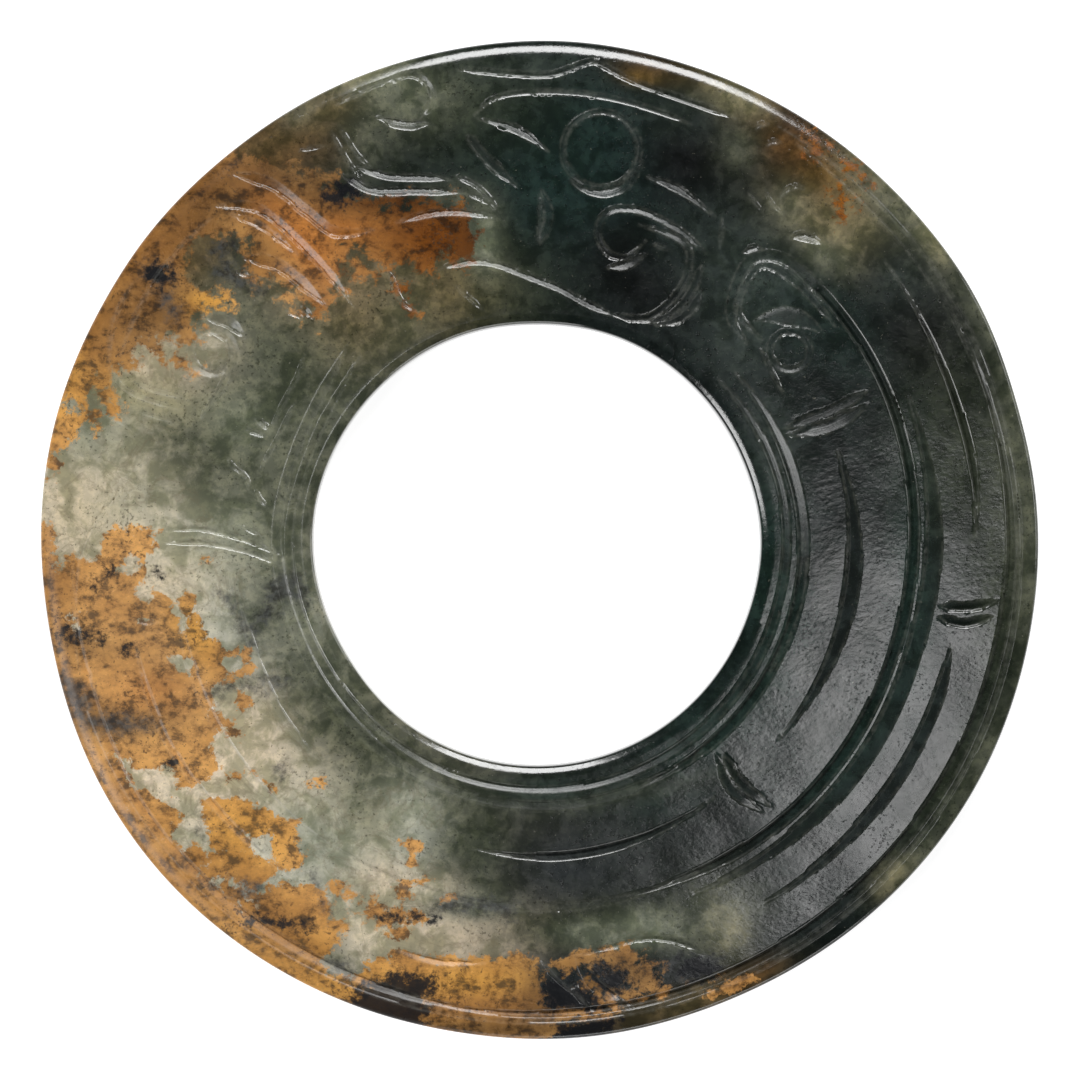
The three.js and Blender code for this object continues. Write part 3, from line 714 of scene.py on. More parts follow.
# Soft clouds in the stone, laid one over another:
# (colour, x, y, half-widths along and across, turn in degrees, strength)
CLOUDS = [
    # what lies under the weathered side
    (SAGE, -50, 22, 26, 20, 0, 0.9),
    (BONE, -46, -26, 22, 34, 40, 1.0),
    (MIST, -28, -38, 14, 14, 0, 0.7),
    # the dark right-hand half, greener towards the rim
    (TEAL, 4, 44, 13, 12, 0, 0.9),
    (TEAL, 8, 48, 5, 5, 0, 0.6),
    (SOOT_BLACK, 18, 46, 7, 6, 0, 1.0),
    (SOOT_BLACK, 12, 31, 9, 5, -20, 0.9),
    (SOOT_BLACK, 10, 36, 4, 3, 0, 0.6),
    (TEAL, 28, 30, 6, 6, 0, 0.8),
    (SOOT_BLACK, 45, 24, 6.5, 11, 20, 1.0),
    (MOSS, 50, 12, 7, 12, 0, 0.55),
    (SMOKE, 57.5, 14, 2.6, 12, 0, 0.75),
    (SMOKE, 54.5, 26, 2, 9, 26, 0.8),
    (SMOKE, 46, 38, 3.2, 9, 40, 0.9),
    (STRAW, 47.5, 36, 1.6, 3, 36, 0.5),
    (SAGE, 40, 42, 5, 4, 0, 0.8),
    (SMOKE, 36, 40, 5, 5, 0, 0.9),
    (STRAW, 36, 38, 3.4, 4, 30, 0.6),
    (SAGE, 31, 40.5, 3, 2.4, 0, 0.8),
    (SAGE, 34, 35, 3.6, 1.6, -35, 0.8),
    (OLIVE_TAN, 36, 41.5, 7, 6, 0, 0.9),
    (OLD_GOLD, 33.5, 44.5, 3, 2, -40, 0.6),
    (RUSSET, 30, 47.5, 6.5, 3, -38, 0.95),
    (CHESTNUT_SHADE, 29, 51, 5, 1.2, -32, 0.8),
    (SMOKE, 41, 41, 2.4, 5, 45, 0.6),
    (SMOKE, 24, 47.5, 2.6, 3, 0, 0.7),
    (STRAW, 23, 53.5, 4.5, 1.8, -22, 0.8),
    (RUSSET, 16, 56, 6, 1.5, -15, 0.75),
    (OLD_GOLD, 12.5, 55.6, 2.6, 1, -10, 0.7),
    (MOSS, 20, 54, 5, 1.5, -22, 0.5),
    (MOSS, 56, -6, 4, 16, 0, 0.6),
    (SMOKE, 59, -2, 1.6, 16, 0, 0.8),
    (MOSS, 50, -30, 3, 12, -32, 0.6),
    (SMOKE, 53.6, -26, 1.4, 8, -26, 0.7),
    (SMOKE, 45.6, -38.6, 1.8, 5, -50, 0.8),
    (STRAW, 42.6, -40.4, 1.4, 2.6, -48, 0.5),
    (DEEP_GREEN, 28, -6, 4, 16, 0, 0.9),
    (DEEP_GREEN, 19, -24, 10, 4, 42, 0.9),
    (DEEP_GREEN, 1, -30, 16, 2.4, 0, 0.8),
    (DEEP_GREEN, 45, -4, 2.6, 16, 0, 0.8),
    (DEEP_GREEN, 38, -25, 2.6, 12, -34, 0.8),
    (DEEP_GREEN, 36, 26, 4, 9, 30, 0.5),
    # a greyer haze over the neck and the top of the head
    (GREY_GREEN, 25, 33, 8, 7, -30, 0.7),
    (GREY_GREEN, 24, 24, 4, 4, 0, 0.7),
    (GREY_GREEN, 28, 12, 3, 6, 10, 0.6),
    (GREY_GREEN, 16, 52, 6, 3, -20, 0.6),
    (GREY_GREEN, -4, 56, 8, 2.4, 4, 0.8),
    (GREY_GREEN, 43, 32, 4, 4, 0, 0.6),
    # the middle of the top, between the dark head and the weathered side
    (MOSS, -9, 53, 9, 6, 0, 0.5),
    (SAGE, -15.5, 53.5, 4.4, 3, 0, 0.7),
    (SMOKE, -16, 53, 5, 4, 0, 0.6),
    (SAGE, -21, 55, 5, 2.2, 22, 0.8),
    (STRAW, -20.5, 56, 3, 1, 22, 0.5),
    (SMOKE, -22, 49, 4, 4, 0, 0.8),
    (MOSS, -8, 30, 8, 5, 0, 0.9),
    (OLIVE_TAN, -14, 30, 7, 5, 0, 0.85),
    (SAGE, -6.5, 36, 2, 4, 0, 0.85),
    (STRAW, -17, 26, 3, 2, 40, 0.5),
    (SMOKE, -20, 27, 6, 6, 0, 0.9),
    (SMOKE, -10, 41, 4, 2, 0, 0.6),
    # the left side: smoky green inside, cream outside
    (SMOKE, -33, 16, 12, 14, 20, 1.0),
    (SMOKE, -28, 24, 8, 7, 0, 0.8),
    (MOSS, -33, 20, 6, 6, 0, 0.8),
    (OLIVE_TAN, -22, 27, 6, 6, 0, 0.7),
    (SMOKE, -36, 13, 6, 5, 0, 0.7),
    (SAGE, -44, 13, 8, 8, 0, 0.9),
    (SMOKE, -44, 12, 9, 5.5, 12, 1.0),
    (SMOKE, -44, 10, 5, 3, 12, 0.6),
    (MOSS, -40, 10, 6, 4, 20, 0.8),
    (SMOKE, -38, 30, 6, 4, -30, 0.8),
    (BLUE_BLACK, -39, 35, 3, 2.4, 0, 0.3),
    (RUSSET, -32, 47, 7, 4, 30, 1.0),
    (OLIVE_TAN, -32, 47.6, 6, 2, 28, 0.5),
    (UMBER, -36, 44, 5, 2, 34, 0.6),
    (UMBER, -26, 46.5, 3, 3, 0, 0.7),
    (SMOKE, -28, 51.5, 3, 1.4, 30, 0.8),
    (OLIVE_TAN, -25, 52, 4, 2, 28, 0.7),
    (RUSSET, -45, 37, 7, 9, -45, 1.0),
    (OLD_GOLD, -49, 29, 6, 8, -28, 0.7),
    (BONE, -52, 6, 10, 7, 0, 1.0),
    (CREAM, -56, 5, 5, 8, 0, 0.8),
    (BONE, -51, 11, 5, 4, 0, 0.7),
    (STRAW, -47, 18, 6, 3.4, -10, 0.8),
    (CREAM, -44, 21.5, 6, 2.6, -10, 0.9),
    (BONE, -38.5, 23, 2.6, 2.6, 0, 0.8),
    (BONE, -44, 1, 8, 5, 0, 0.9),
    (SAGE, -48, 5.5, 5, 2.6, 20, 0.6),
    (MIST, -40, -1, 8, 5, 0, 0.9),
    (SAGE, -35, 2, 4, 4, 0, 0.7),
    (STRAW, -40, -6, 7, 6, 0, 0.7),
    (MIST, -38, -10, 7, 8, -30, 0.9),
    (CREAM, -46, -8, 8, 9, 0, 0.6),
    (MIST, -31, -14, 7, 8, 20, 0.8),
    (SAGE, -27, -12, 3, 12, 30, 0.7),
    (SAGE, -31, -6, 4, 6, 0, 0.6),
    (CREAM, -33.5, -22, 6.5, 6, -40, 0.9),
    (SAGE, -28, -24, 6, 7, 40, 0.9),
    (SMOKE, -21, -27, 9, 6, -38, 0.9),
    (MOSS, -20, -23, 6, 4, -40, 0.5),
    (CREAM, -40, -29, 10, 4, -20, 1.0),
    (CREAM, -34, -28, 6, 5, -40, 0.7),
    (BONE, -47, -30, 6, 5, -60, 0.8),
    (BONE, -27, -33, 8, 6, -45, 0.9),
    (MIST, -24, -38, 9, 5, -35, 0.9),
    (SAGE, -21, -32, 5, 4, -30, 0.8),
    (STRAW, -17, -33, 5, 4, 0, 0.8),
    (MIST, -14, -37, 4, 3.5, 0, 0.8),
    (CREAM, -19, -41, 5, 3, -20, 0.9),
    (BONE, -21, -47, 6, 3.4, -20, 1.0),
    (CREAM, -9, -47.5, 8.5, 2.8, 0, 1.0),
    (BONE, -12, -42, 4.5, 3, 0, 0.8),
    (BLUE_BLACK, -9, -44, 6, 1.1, 3, 0.6),
    (SMOKE, -7, -40, 2.5, 5, 10, 0.7),
    # the smoky green round the left of the hole
    (SMOKE, -31, 3, 5, 9, 0, 0.9),
    (SMOKE, -38, 7, 6, 4.5, 10, 0.8),
    (SAGE, -37, 1, 5, 4, 0, 0.6),
    (SMOKE, -33, -9, 4, 5, 0, 0.9),
    (SMOKE, -28, -15, 5, 5, 0, 1.0),
    (MOSS, -24, -20, 4.5, 5, 40, 0.8),
    (MOSS, -19, -25, 5, 4, -40, 0.5),
    (SMOKE, -36, 20, 7, 4, 0, 0.7),
    (SAGE, -26, -37, 8, 3.4, -35, 0.6),
    (SMOKE, -11, -36, 4, 4, 0, 0.9),
    (MOSS, -7, -36, 4, 6, 0, 0.9),
    (MOSS, -14, -28, 6, 3.4, -25, 0.8),
    (SAGE, -36, 14, 3.4, 3.4, 0, 0.6),
    (SMOKE, -43, 11.5, 5, 3, 0, 0.6),
    (SAGE, -8, -44, 4, 1.6, 0, 0.5),
    (SAND, -40.5, 36, 2.6, 2, 40, 0.8),
    (SMOKE, -20, -31, 4, 3, -40, 0.6),
    (STRAW, -55, 3, 6, 5, 0, 0.35),
    (SAGE, -54, 12.5, 6, 4, 0, 0.8),
    (SAND, -25, 31.5, 7, 3.4, 20, 0.8),
    (SAND, -32, 32.4, 4, 2, 0, 0.6),
    (CREAM, -36, -24, 5, 4, 0, 0.7),
    (CREAM, -48, -28.5, 4, 3, -40, 0.8),
    (MIST, -15.5, -32, 4, 3.4, -30, 0.7),
    (CREAM, -12, -47.6, 7, 2.4, 0, 0.5),
    (SAGE, -8, -44, 5, 2, 0, 0.5),
    (SMOKE, -25, -49, 2, 3, 0, 0.6),
    # the foot of the ring
    (BLUE_BLACK, 2, -39, 8, 5, 0, 0.75),
    (MOSS, 4, -46.5, 14, 2.6, 6, 0.9),
    (SAGE, 6, -47.2, 3.6, 1.6, 0, 0.8),
    (SAGE, 12.5, -46, 3, 2, 0, 0.7),
    (SMOKE, 21, -45, 5, 4, 20, 0.9),
    (STRAW, 22.5, -46.5, 2, 3, 20, 0.5),
    (SMOKE, 10, -30.5, 12, 1.2, 12, 0.3),
    (SAGE, 12, -47.2, 5, 2, 5, 0.9),
    (BLUE_BLACK, 5, -53, 9, 4, 6, 0.9),
    (UMBER, 12, -57, 12, 2.4, 10, 0.8),
    (OLIVE_TAN, 20, -55, 9, 2, 20, 0.6),
    (RUSSET, 25, -52.6, 4, 1.4, 26, 0.9),
]

# The ochre skin's colour from place to place, as clouds over APRICOT
OCHRE_CLOUDS = [
    (TAN, -42, -12, 12, 10, 0, 0.7),
    (HONEY, -36, -35, 8, 6, 0, 0.8),
    (HONEY, -28, -50, 14, 4, -28, 0.9),
    (TOFFEE, -34, -44, 13, 3, -35, 0.8),
    (CHESTNUT, -52, -21.5, 9, 2.2, 0, 0.75),
    (CHESTNUT, -56, -12, 5, 1.8, -8, 0.7),
    (TOFFEE, -57.5, -6, 2.5, 8, 0, 0.6),
    (HONEY, -41, -11, 2.6, 5, 30, 0.9),
    (COPPER, -47, -18, 5, 2.5, 0, 0.4),
    (HONEY, -8, -53, 12, 3, 0, 0.9),
    (CHESTNUT, 9, -52, 8, 4, 0, 0.9),
    (TOFFEE, -8, -56, 12, 2, 0, 1.0),
    (CHESTNUT, -4, -58.6, 16, 1.4, 0, 0.8),
    (TAN, -26, 30, 7, 4, 0, 0.9),
    (CHESTNUT, 0, -54, 3, 5, 0, 0.7),
    (TOFFEE, -18, -44.5, 6, 1, 0, 0.5),
    (HONEY, -55, 19, 8, 7, -25, 0.7),
    (TOFFEE, -51, 28, 7, 9, -30, 0.9),
    (CHESTNUT, -47, 25, 5, 8, -20, 0.45),
    (CHESTNUT, -44, 30, 6, 6, 0, 0.7),
    (TOFFEE, -44, 37, 9, 5, 45, 0.9),
    (CHESTNUT, -34, 43.5, 10, 5.5, 32, 0.95),
    (DARK_AMBER, -40, 42.5, 4, 2.4, 40, 0.6),
    (COPPER, -28.5, 36.5, 3.4, 8.5, 38, 0.95),
    (COPPER, -23, 38, 5, 2.4, -10, 0.8),
    (CHESTNUT, -24, 41.5, 7, 2.6, -14, 0.9),
    (CHESTNUT, -29, 45, 6, 3, 0, 0.8),
    (CHESTNUT, -33, 35, 3, 3, 0, 0.5),
    (HONEY, -39.5, 28.8, 2.6, 1.6, 0, 0.9),
    (TOFFEE, -33.5, 32, 3, 2, 0, 0.8),
    (AMBER, -12, 36.5, 10, 7.5, 0, 1.0),
    (DARK_AMBER, -10, 36.5, 6, 5, 0, 0.5),
    (DARK_AMBER, -17, 41, 8, 1.8, 0, 0.9),
    (AMBER, -27, 27.5, 2, 2.6, 0, 0.7),
    (AMBER, -16, 29, 4, 4, 0, 0.9),
    (DARK_AMBER, -8, 36, 2.4, 4, 0, 0.8),
    (AMBER, 36, 43, 16, 16, 0, 1.0),
    (GOLDEN, 37.5, 43, 3, 3, 0, 0.8),
]

# Where the ochre fades out softly instead of ending crisply:
# (x, y, half-widths along and across, turn in degrees)
FEATHERED = [
    (-33, 41, 24, 13, 38), (-44, 30, 12, 9, 0), (-47, 20, 9, 5, 0), (-22, 30, 14, 7, 20),
    (-14, 36, 13, 9, 0), (36, 43, 9, 9, 0), (9, -52, 10, 4, 0), (-38, -44, 12, 2.4, -38),
    (-23, -44, 4, 3, 0),
]

# Crisp edged patches of ochre, the weathered skin of the stone
OCHRE = [
    [
        (-64, 2.6), (-58.9, 2.2), (-57.6, 1), (-58.6, -0.4), (-58.3, -1.5), (-55.4, -1.6), (-53.9, -2.8),
        (-52.8, -1.5), (-52.1, 1), (-50.6, 1.8), (-48.6, 1.7), (-46.8, 1.2), (-45.8, -0.4), (-47.2, -2),
        (-47, -4.8), (-45.4, -6.6), (-43.3, -6.6), (-42.2, -6.3), (-41.1, -6.5), (-41.3, -7.8),
        (-39.8, -11.4), (-38.5, -12.3), (-37.3, -13.4), (-34.6, -12.8), (-34.1, -15.5), (-35.8, -16.4),
        (-37.9, -16.7), (-39.6, -18.3), (-38.3, -20.5), (-38.1, -22.4), (-39, -23.3), (-39, -25.5),
        (-38.2, -27.2), (-40.3, -28.7), (-41.6, -29.6), (-43.5, -29.4), (-43.8, -27), (-46, -27.3),
        (-48.8, -27.2), (-49.6, -26.2), (-51.5, -25.4), (-53, -26.4), (-54.2, -27.4), (-64, -27.4),
    ],
    [(-64, -27), (-53.3, -27.2), (-51.2, -28.4), (-51.6, -29.4), (-52.4, -30.6), (-64, -31.5)],
    [
        (-64, -18), (-53.6, -19.4), (-51.8, -23), (-50.9, -25.4), (-49.8, -27), (-48.9, -29.4),
        (-47.4, -30.8), (-64, -38),
    ],
    [
        (-64, -31), (-50.9, -31), (-49.7, -31.6), (-48.6, -30), (-47.2, -29.9), (-46, -30.8),
        (-44.3, -31.2), (-44.1, -32.8), (-42.8, -32.6), (-42.6, -33.6), (-43.6, -34.6), (-43.8, -35.6),
        (-42, -36.6), (-40.6, -36.2), (-40.3, -37.6), (-39.7, -39), (-38.2, -40.3), (-35.2, -41.5),
        (-35.2, -42.6), (-33.8, -42.3), (-31.5, -41.3), (-30, -41), (-27.1, -41.2), (-25.6, -42.8),
        (-24.4, -44.2), (-23.6, -45.4), (-23.4, -47), (-24.6, -48.8), (-26, -50.4), (-25.2, -51.9),
        (-22.5, -52.2), (-20.8, -51.6), (-21.2, -50.3), (-18, -50.3), (-17.6, -48.7), (-15, -49.4),
        (-12.5, -50), (-10, -49.4), (-9.8, -50.2), (-4.6, -50), (-3, -49.4), (-1.6, -49.6), (-0.4, -50.4),
        (0.6, -51.6), (0.2, -53), (0.6, -54.4), (1.4, -55.6), (5, -56.4), (8, -56.2), (9, -57.2),
        (4, -57.8), (1.6, -60), (-20, -64), (-64, -64),
    ],
    [
        (2, -50.6), (3.4, -49.6), (6, -49.2), (8.2, -48.3), (10.4, -48.6), (12.6, -49.4), (14, -50.8),
        (15, -52.4), (17, -53.6), (15.6, -54.4), (12.4, -54.8), (10.4, -54.6), (10.8, -53), (9.4, -51.6),
        (7, -51), (4.6, -51.2), (2.6, -51.4),
    ],
    [(5.6, -52.6), (7, -53.8), (8.6, -55.4), (9.6, -56.4), (7.6, -56), (6, -54.4)],
    [(20, -54.2), (22, -53), (24.6, -52), (26.8, -52.6), (24.6, -53.8), (21.4, -55)],
    [
        (-40.4, -31), (-38.4, -30.7), (-34.8, -31), (-33.8, -32), (-32, -32.2), (-31.4, -33.1),
        (-30, -33), (-28.4, -33.5), (-29.2, -34.6), (-28.9, -36), (-29.2, -37.2), (-27.8, -37.3),
        (-27.6, -38.3), (-28.9, -39.2), (-31.6, -39.5), (-32.2, -40.5), (-34, -41.9), (-36, -41),
        (-39, -40.8), (-40.4, -38.6), (-39.4, -36), (-40.4, -34),
    ],
    [(-38.2, -21.2), (-36.6, -21.3), (-36.3, -22.8), (-35, -23.4), (-35.8, -23.9), (-37.6, -23)],
    [(-36.4, -17.9), (-35, -18.2), (-34.2, -19.6), (-35.6, -20.2), (-36.2, -19.2)],
    [(-37.2, -28), (-35.6, -27.8), (-36, -28.9), (-37.4, -28.9)],
    [(-34.4, -27.6), (-33.4, -28.2), (-32, -30.4), (-31.4, -29.8), (-31.6, -28.8), (-32.6, -28.6)],
    [(-27.8, -29), (-25.4, -28.4), (-25.6, -29.3), (-26.8, -29.9)],
    [(-25, -41.2), (-22.8, -41.2), (-22.5, -42.3), (-24.8, -42.6)],
    [
        (-22, -43.2), (-20.5, -42.8), (-18.4, -43), (-17.8, -43.9), (-15.6, -44.4), (-13.8, -44.6),
        (-13.2, -45.5), (-15, -45.9), (-17.5, -45.6), (-19, -46.3), (-20.5, -46.2), (-21.8, -45),
    ],
    [(-18.6, -46.4), (-16.6, -46.1), (-15.2, -46.9), (-15.5, -48.1), (-17.2, -48), (-18.4, -47.4)],
    [(-17.3, -41.3), (-16.2, -40.5), (-15.1, -41.2), (-15.5, -42.6), (-16.6, -43.1), (-17.3, -42.2)],
    [(-15.2, -40.8), (-12.6, -40.4), (-12.4, -40.9), (-15, -41.4)],
    [
        (-16.9, -35.8), (-14.3, -35.7), (-14.2, -36.9), (-14.9, -37.5), (-14.4, -38.9), (-15.8, -39.1),
        (-15.9, -37.4), (-16.7, -36.9),
    ],
    [(-12.1, -42.9), (-10.6, -42.3), (-10.2, -42.9), (-11.5, -43.4)],
    [(-47.9, 1.9), (-46.8, 2), (-45.4, 1.3), (-45.6, 0.6), (-46.8, 0.7)],
    [(-40.6, -2.4), (-39.4, -2.1), (-39.2, -2.6), (-40.4, -2.9)],
    [
        (-64, 20), (-60.4, 6.6), (-59, 6.8), (-58.9, 10.2), (-58.7, 9), (-57.8, 8), (-57, 8.7),
        (-58, 10.6), (-56.8, 11), (-55.4, 12.2), (-55.2, 14), (-54.2, 14.6), (-53.5, 12.2), (-53, 12.6),
        (-52.9, 14), (-52, 15.2), (-50.4, 15.3), (-50.5, 16.8), (-51.7, 18.8), (-50.9, 20.4),
        (-49, 21.2), (-47.9, 22.8), (-46.3, 21.9), (-44.8, 21.2), (-42.6, 20.3), (-41.1, 21),
        (-42.6, 22.4), (-44.6, 22.7), (-44.2, 24.2), (-42.4, 23.2), (-40.9, 24.2), (-40.5, 25.6),
        (-41.4, 26.4), (-39.8, 28), (-37, 28.2), (-38.6, 29.7), (-41, 30.3), (-42.6, 31.6),
        (-42.4, 33.5), (-42.6, 34.6), (-41, 35.4), (-39.4, 36.2), (-38, 37), (-36.5, 36.4),
        (-34.9, 36.4), (-36, 34.8), (-35.4, 33.2), (-34.8, 31.4), (-32.2, 30.6), (-31.4, 32.4),
        (-29.6, 31.6), (-28.6, 30), (-28.4, 27.4), (-26.6, 26.8), (-26.3, 29.2), (-25.2, 31.6),
        (-24, 33.6), (-22.6, 35), (-21.4, 34.6), (-19.5, 33.2), (-15.5, 33), (-14, 31.6),
        (-12.5, 32.4), (-11, 34), (-8.2, 33.8), (-7.6, 36.5), (-8, 39.6), (-10, 41.2), (-18, 41),
        (-22, 40.8), (-26, 43.8), (-28.5, 44.4), (-31, 45.6), (-35, 46), (-36.8, 47.6), (-48, 50),
    ],
    [
        (-36, 34.6), (-33, 35.4), (-28, 35), (-22, 34.4), (-19, 32.6), (-18.4, 30.8), (-20.6, 31),
        (-22.8, 31.8), (-24.4, 30.2), (-26, 27.6), (-28.4, 27), (-29.6, 29.4), (-32, 31), (-34.6, 32),
    ],
    [(-18.8, 33.4), (-17.6, 30.6), (-15.2, 27.4), (-14, 27.2), (-15.8, 29.2), (-17.4, 32.4), (-17.8, 34)],
    [(36.9, 46), (38.4, 45.3), (39.6, 43.2), (38.8, 42.4), (37.8, 43.2), (36.8, 44.6)],
    [(35.2, 41.4), (36.4, 41.8), (36.6, 40), (36.2, 38.6), (35.3, 38.6), (35.8, 40)],
    [(33, 49), (34.6, 47.6), (33.8, 46), (32.4, 46.4), (31.8, 48)],
]

# Pale islands left in the ochre
PALE_ISLANDS = [
    [(-50.4, -2.4), (-48.8, -1.8), (-48, -3), (-49, -4.1), (-50.6, -3.6)],
    [(-48.9, -5), (-47.2, -5), (-46.2, -6.2), (-46.9, -7.2), (-48.3, -6.5)],
    [
        (-44.5, -8.1), (-43.3, -7.4), (-42.4, -8.6), (-42.1, -9.5), (-41.7, -10.6), (-43.2, -10.8),
        (-43.2, -9.2),
    ],
    [(-47.6, -9.2), (-46.6, -8.8), (-46.4, -9.6), (-47.4, -9.8)],
    [(-37.9, -14.2), (-36.3, -13.6), (-35.3, -14.5), (-35.6, -15.6), (-37.3, -15.8)],
    [(-44.8, -14.2), (-43, -13.7), (-41.6, -14.4), (-42.2, -15.8), (-43.8, -15.2)],
    [(-58.4, -2.4), (-57, -2.2), (-56.8, -3.2), (-58, -3.8)],
    [(-56.2, -8.8), (-55.4, -9.2), (-55, -11), (-55.8, -10.8)],
    [(-57.2, 16.6), (-55.8, 17), (-55.4, 15.6), (-56.6, 15.2)],
    [(-53.8, 17.4), (-52.6, 17.2), (-52.4, 16), (-53.6, 16)],
    [
        (-35.2, -34.9), (-33.4, -35.6), (-31.6, -35.4), (-32.6, -36.6), (-31.8, -38), (-33.6, -37.4),
        (-34.6, -38.2), (-34.4, -36.6),
    ],
    [(-36.2, -42), (-34.4, -42), (-34.6, -43), (-36, -43)],
    [(-45.2, 24.6), (-43.6, 24.4), (-43.8, 23.4), (-45, 23.4)],
    [(-40.2, 25.2), (-36.2, 27.6), (-34.6, 24.6), (-36.4, 21), (-39.8, 20.4), (-41, 22.6)],
]

# Black blots and veins of iron in the ochre and the cream
BLOTS = [
    [
        (-22.4, -53.4), (-20.2, -53), (-18.6, -52.6), (-16.9, -51.7), (-15.3, -52.4), (-12.4, -52.1),
        (-12.5, -53.6), (-13.5, -54.6), (-12.7, -55.8), (-13.8, -57), (-13, -60), (-22, -60),
    ],
    [
        (0.2, -54.2), (0.9, -53), (2.2, -52.8), (4.3, -53.2), (5.6, -53.6), (6.2, -54.8), (8, -56.3),
        (5.2, -56.7), (1, -56),
    ],
    [(2.4, -57.9), (4.5, -57.6), (8.2, -57.2), (10, -57.4), (9, -59), (4.3, -60), (2, -59.6)],
    [(6.6, -51), (8, -51.2), (9.5, -51.5), (10.4, -52.5), (9.5, -53.9), (8.2, -53.6), (7.2, -52.3)],
    [(17, -49.8), (20, -50), (22.4, -51.2), (20, -52.6), (17, -52)],
    [(-58.4, -11), (-56, -10.6), (-54.4, -11), (-52.4, -11.2), (-52.5, -12), (-54.5, -11.9), (-57.5, -11.8)],
    [(-52, -3.1), (-51.1, -3.3), (-51, -4), (-51.8, -4)],
    [(-53.9, -4.8), (-53.1, -5), (-53.1, -5.6), (-53.8, -5.6)],
    [(-50.2, -12.6), (-48.2, -12.7), (-48.3, -13.3), (-50, -13.3)],
    [(-45.8, -3.6), (-45.3, -3.6), (-45.3, -4.1), (-45.8, -4.1)],
    [(-44.4, -25.8), (-43.6, -26.6), (-44, -27.2), (-44.6, -26.4)],
    [(-19, -44.9), (-13.2, -44.9), (-12, -45.6), (-13, -45.5), (-19, -45.4)],
    [(-35, -45.2), (-31, -45.4), (-27, -45.8), (-27, -46.3), (-32, -46), (-35, -45.7)],
    [(-47.4, 33), (-46, 33.4), (-44.6, 32.8), (-44.2, 31.2), (-45.2, 30.4), (-47.2, 31.6)],
    [(-23.6, 43.2), (-21.8, 43.2), (-21.8, 41.9), (-23.8, 40.4), (-25.8, 40.2), (-25.4, 41.8)],
]

# Smoky veins and shadows, softer than the blots
SMOKY_VEINS = [
    [
        (-31.2, -4), (-29.6, -3.8), (-28.9, -6.6), (-30.8, -7.4), (-31.4, -8.8), (-33, -10.4),
        (-34.4, -9.8), (-33.2, -7.6), (-32.6, -5),
    ],
    [(-38.6, -5.6), (-37.2, -6.4), (-36, -8.4), (-34.8, -10.6), (-34, -12.6), (-35.2, -11.8), (-36.6, -9)],
    [(-36.2, -9.8), (-33, -9.6), (-33.8, -11.4), (-35.8, -11.4)],
    [
        (-40, -18.2), (-38.2, -17.3), (-34, -16.7), (-31, -16.2), (-29.8, -17), (-33, -17.8),
        (-36, -17.6), (-38.6, -18.5),
    ],
    [(-31.6, -27.1), (-30.2, -26.9), (-30, -28), (-31.4, -28.6)],
    [(-47.6, 33.2), (-46, 33.7), (-44.4, 32.8), (-44, 31), (-45.2, 30.2), (-47.4, 31.4)],
    [(-45.6, 30), (-44.2, 29.8), (-42.8, 27.6), (-43.4, 26.2), (-45, 27.8)],
    [(-39.8, 34.8), (-38.6, 35.6), (-36.8, 36.2), (-36.4, 35.2), (-38, 34.4), (-39.2, 33.8)],
    [
        (-58, -15.6), (-55.6, -16), (-54.4, -17.4), (-53.2, -18.4), (-53.4, -19.8), (-55, -20.6),
        (-57.4, -19.5),
    ],
    [
        (-56, -20.4), (-52.2, -20.8), (-49, -20.9), (-46.2, -21.2), (-46.4, -22.8), (-49.3, -23.1),
        (-52, -23.2), (-55, -22),
    ],
    [
        (-27.2, -39.6), (-26.6, -40.8), (-26, -42.4), (-25.6, -44.6), (-26.3, -43), (-27, -41.4),
        (-27.8, -40.4),
    ],
    [(-40.6, -33), (-40, -33.6), (-40.2, -35.4), (-40.8, -34.6)],
    [(-24.9, -50.2), (-23.4, -50.4), (-22.6, -51), (-23.6, -51.8), (-24.8, -51.2)],
    [(-28, -4.6), (-29.6, -3.6), (-30.6, -5.4), (-29, -7.4), (-27.4, -8)],
    [(-38.6, 33.8), (-36.6, 33.4), (-34.6, 31.4), (-32.4, 29.6), (-35.4, 30), (-38.8, 32)],
    [(-36.6, -40.6), (-34, -40.8), (-32.4, -41.6), (-34.2, -42.6), (-37, -42.4)],
    [(-9, -42.6), (-3, -43.4), (-2.8, -45.2), (-8.6, -44.6), (-13, -44.6), (-12.6, -43.4)],
    [(14.6, -50.6), (18, -50), (22, -50), (21, -52.4), (17, -53), (15, -52.6)],
]

# How far to either side of its edge a patch is still told from its surroundings
EDGE_REACH = 4.0

# How strongly a feathered cloud softens the skin's edge, and how wide the band along an arris is lightened,
# as scuffed wear and a painted highlight
FEATHERING = 1.6
ARRIS_WEAR_AND_GLINT = 0.14

# The colours run down through the stone at a slant: sideways for each millimetre down
COLOUR_SLANT = np.array([0.55, -0.4])


def soft_cloud(places, x, y, along, across, turn):
    """The share of a cloud at each place, from 1 at its middle to nothing."""
    away = places - (x, y)
    turned = np.radians(turn)
    u = (away[:, 0] * math.cos(turned) + away[:, 1] * math.sin(turned)) / along
    v = (away[:, 1] * math.cos(turned) - away[:, 0] * math.sin(turned)) / across
    return np.exp(-(u**2 + v**2))


def clouded(places, ground, clouds):
    """The colour at each place of a ground with clouds laid over it one by one."""
    colour = np.ones((len(places), 4))
    colour[:, :3] = ground
    for tint, *cloud, strength in clouds:
        colour[:, :3] += (strength * soft_cloud(places, *cloud))[:, None] * (np.array(tint) - colour[:, :3])
    return colour


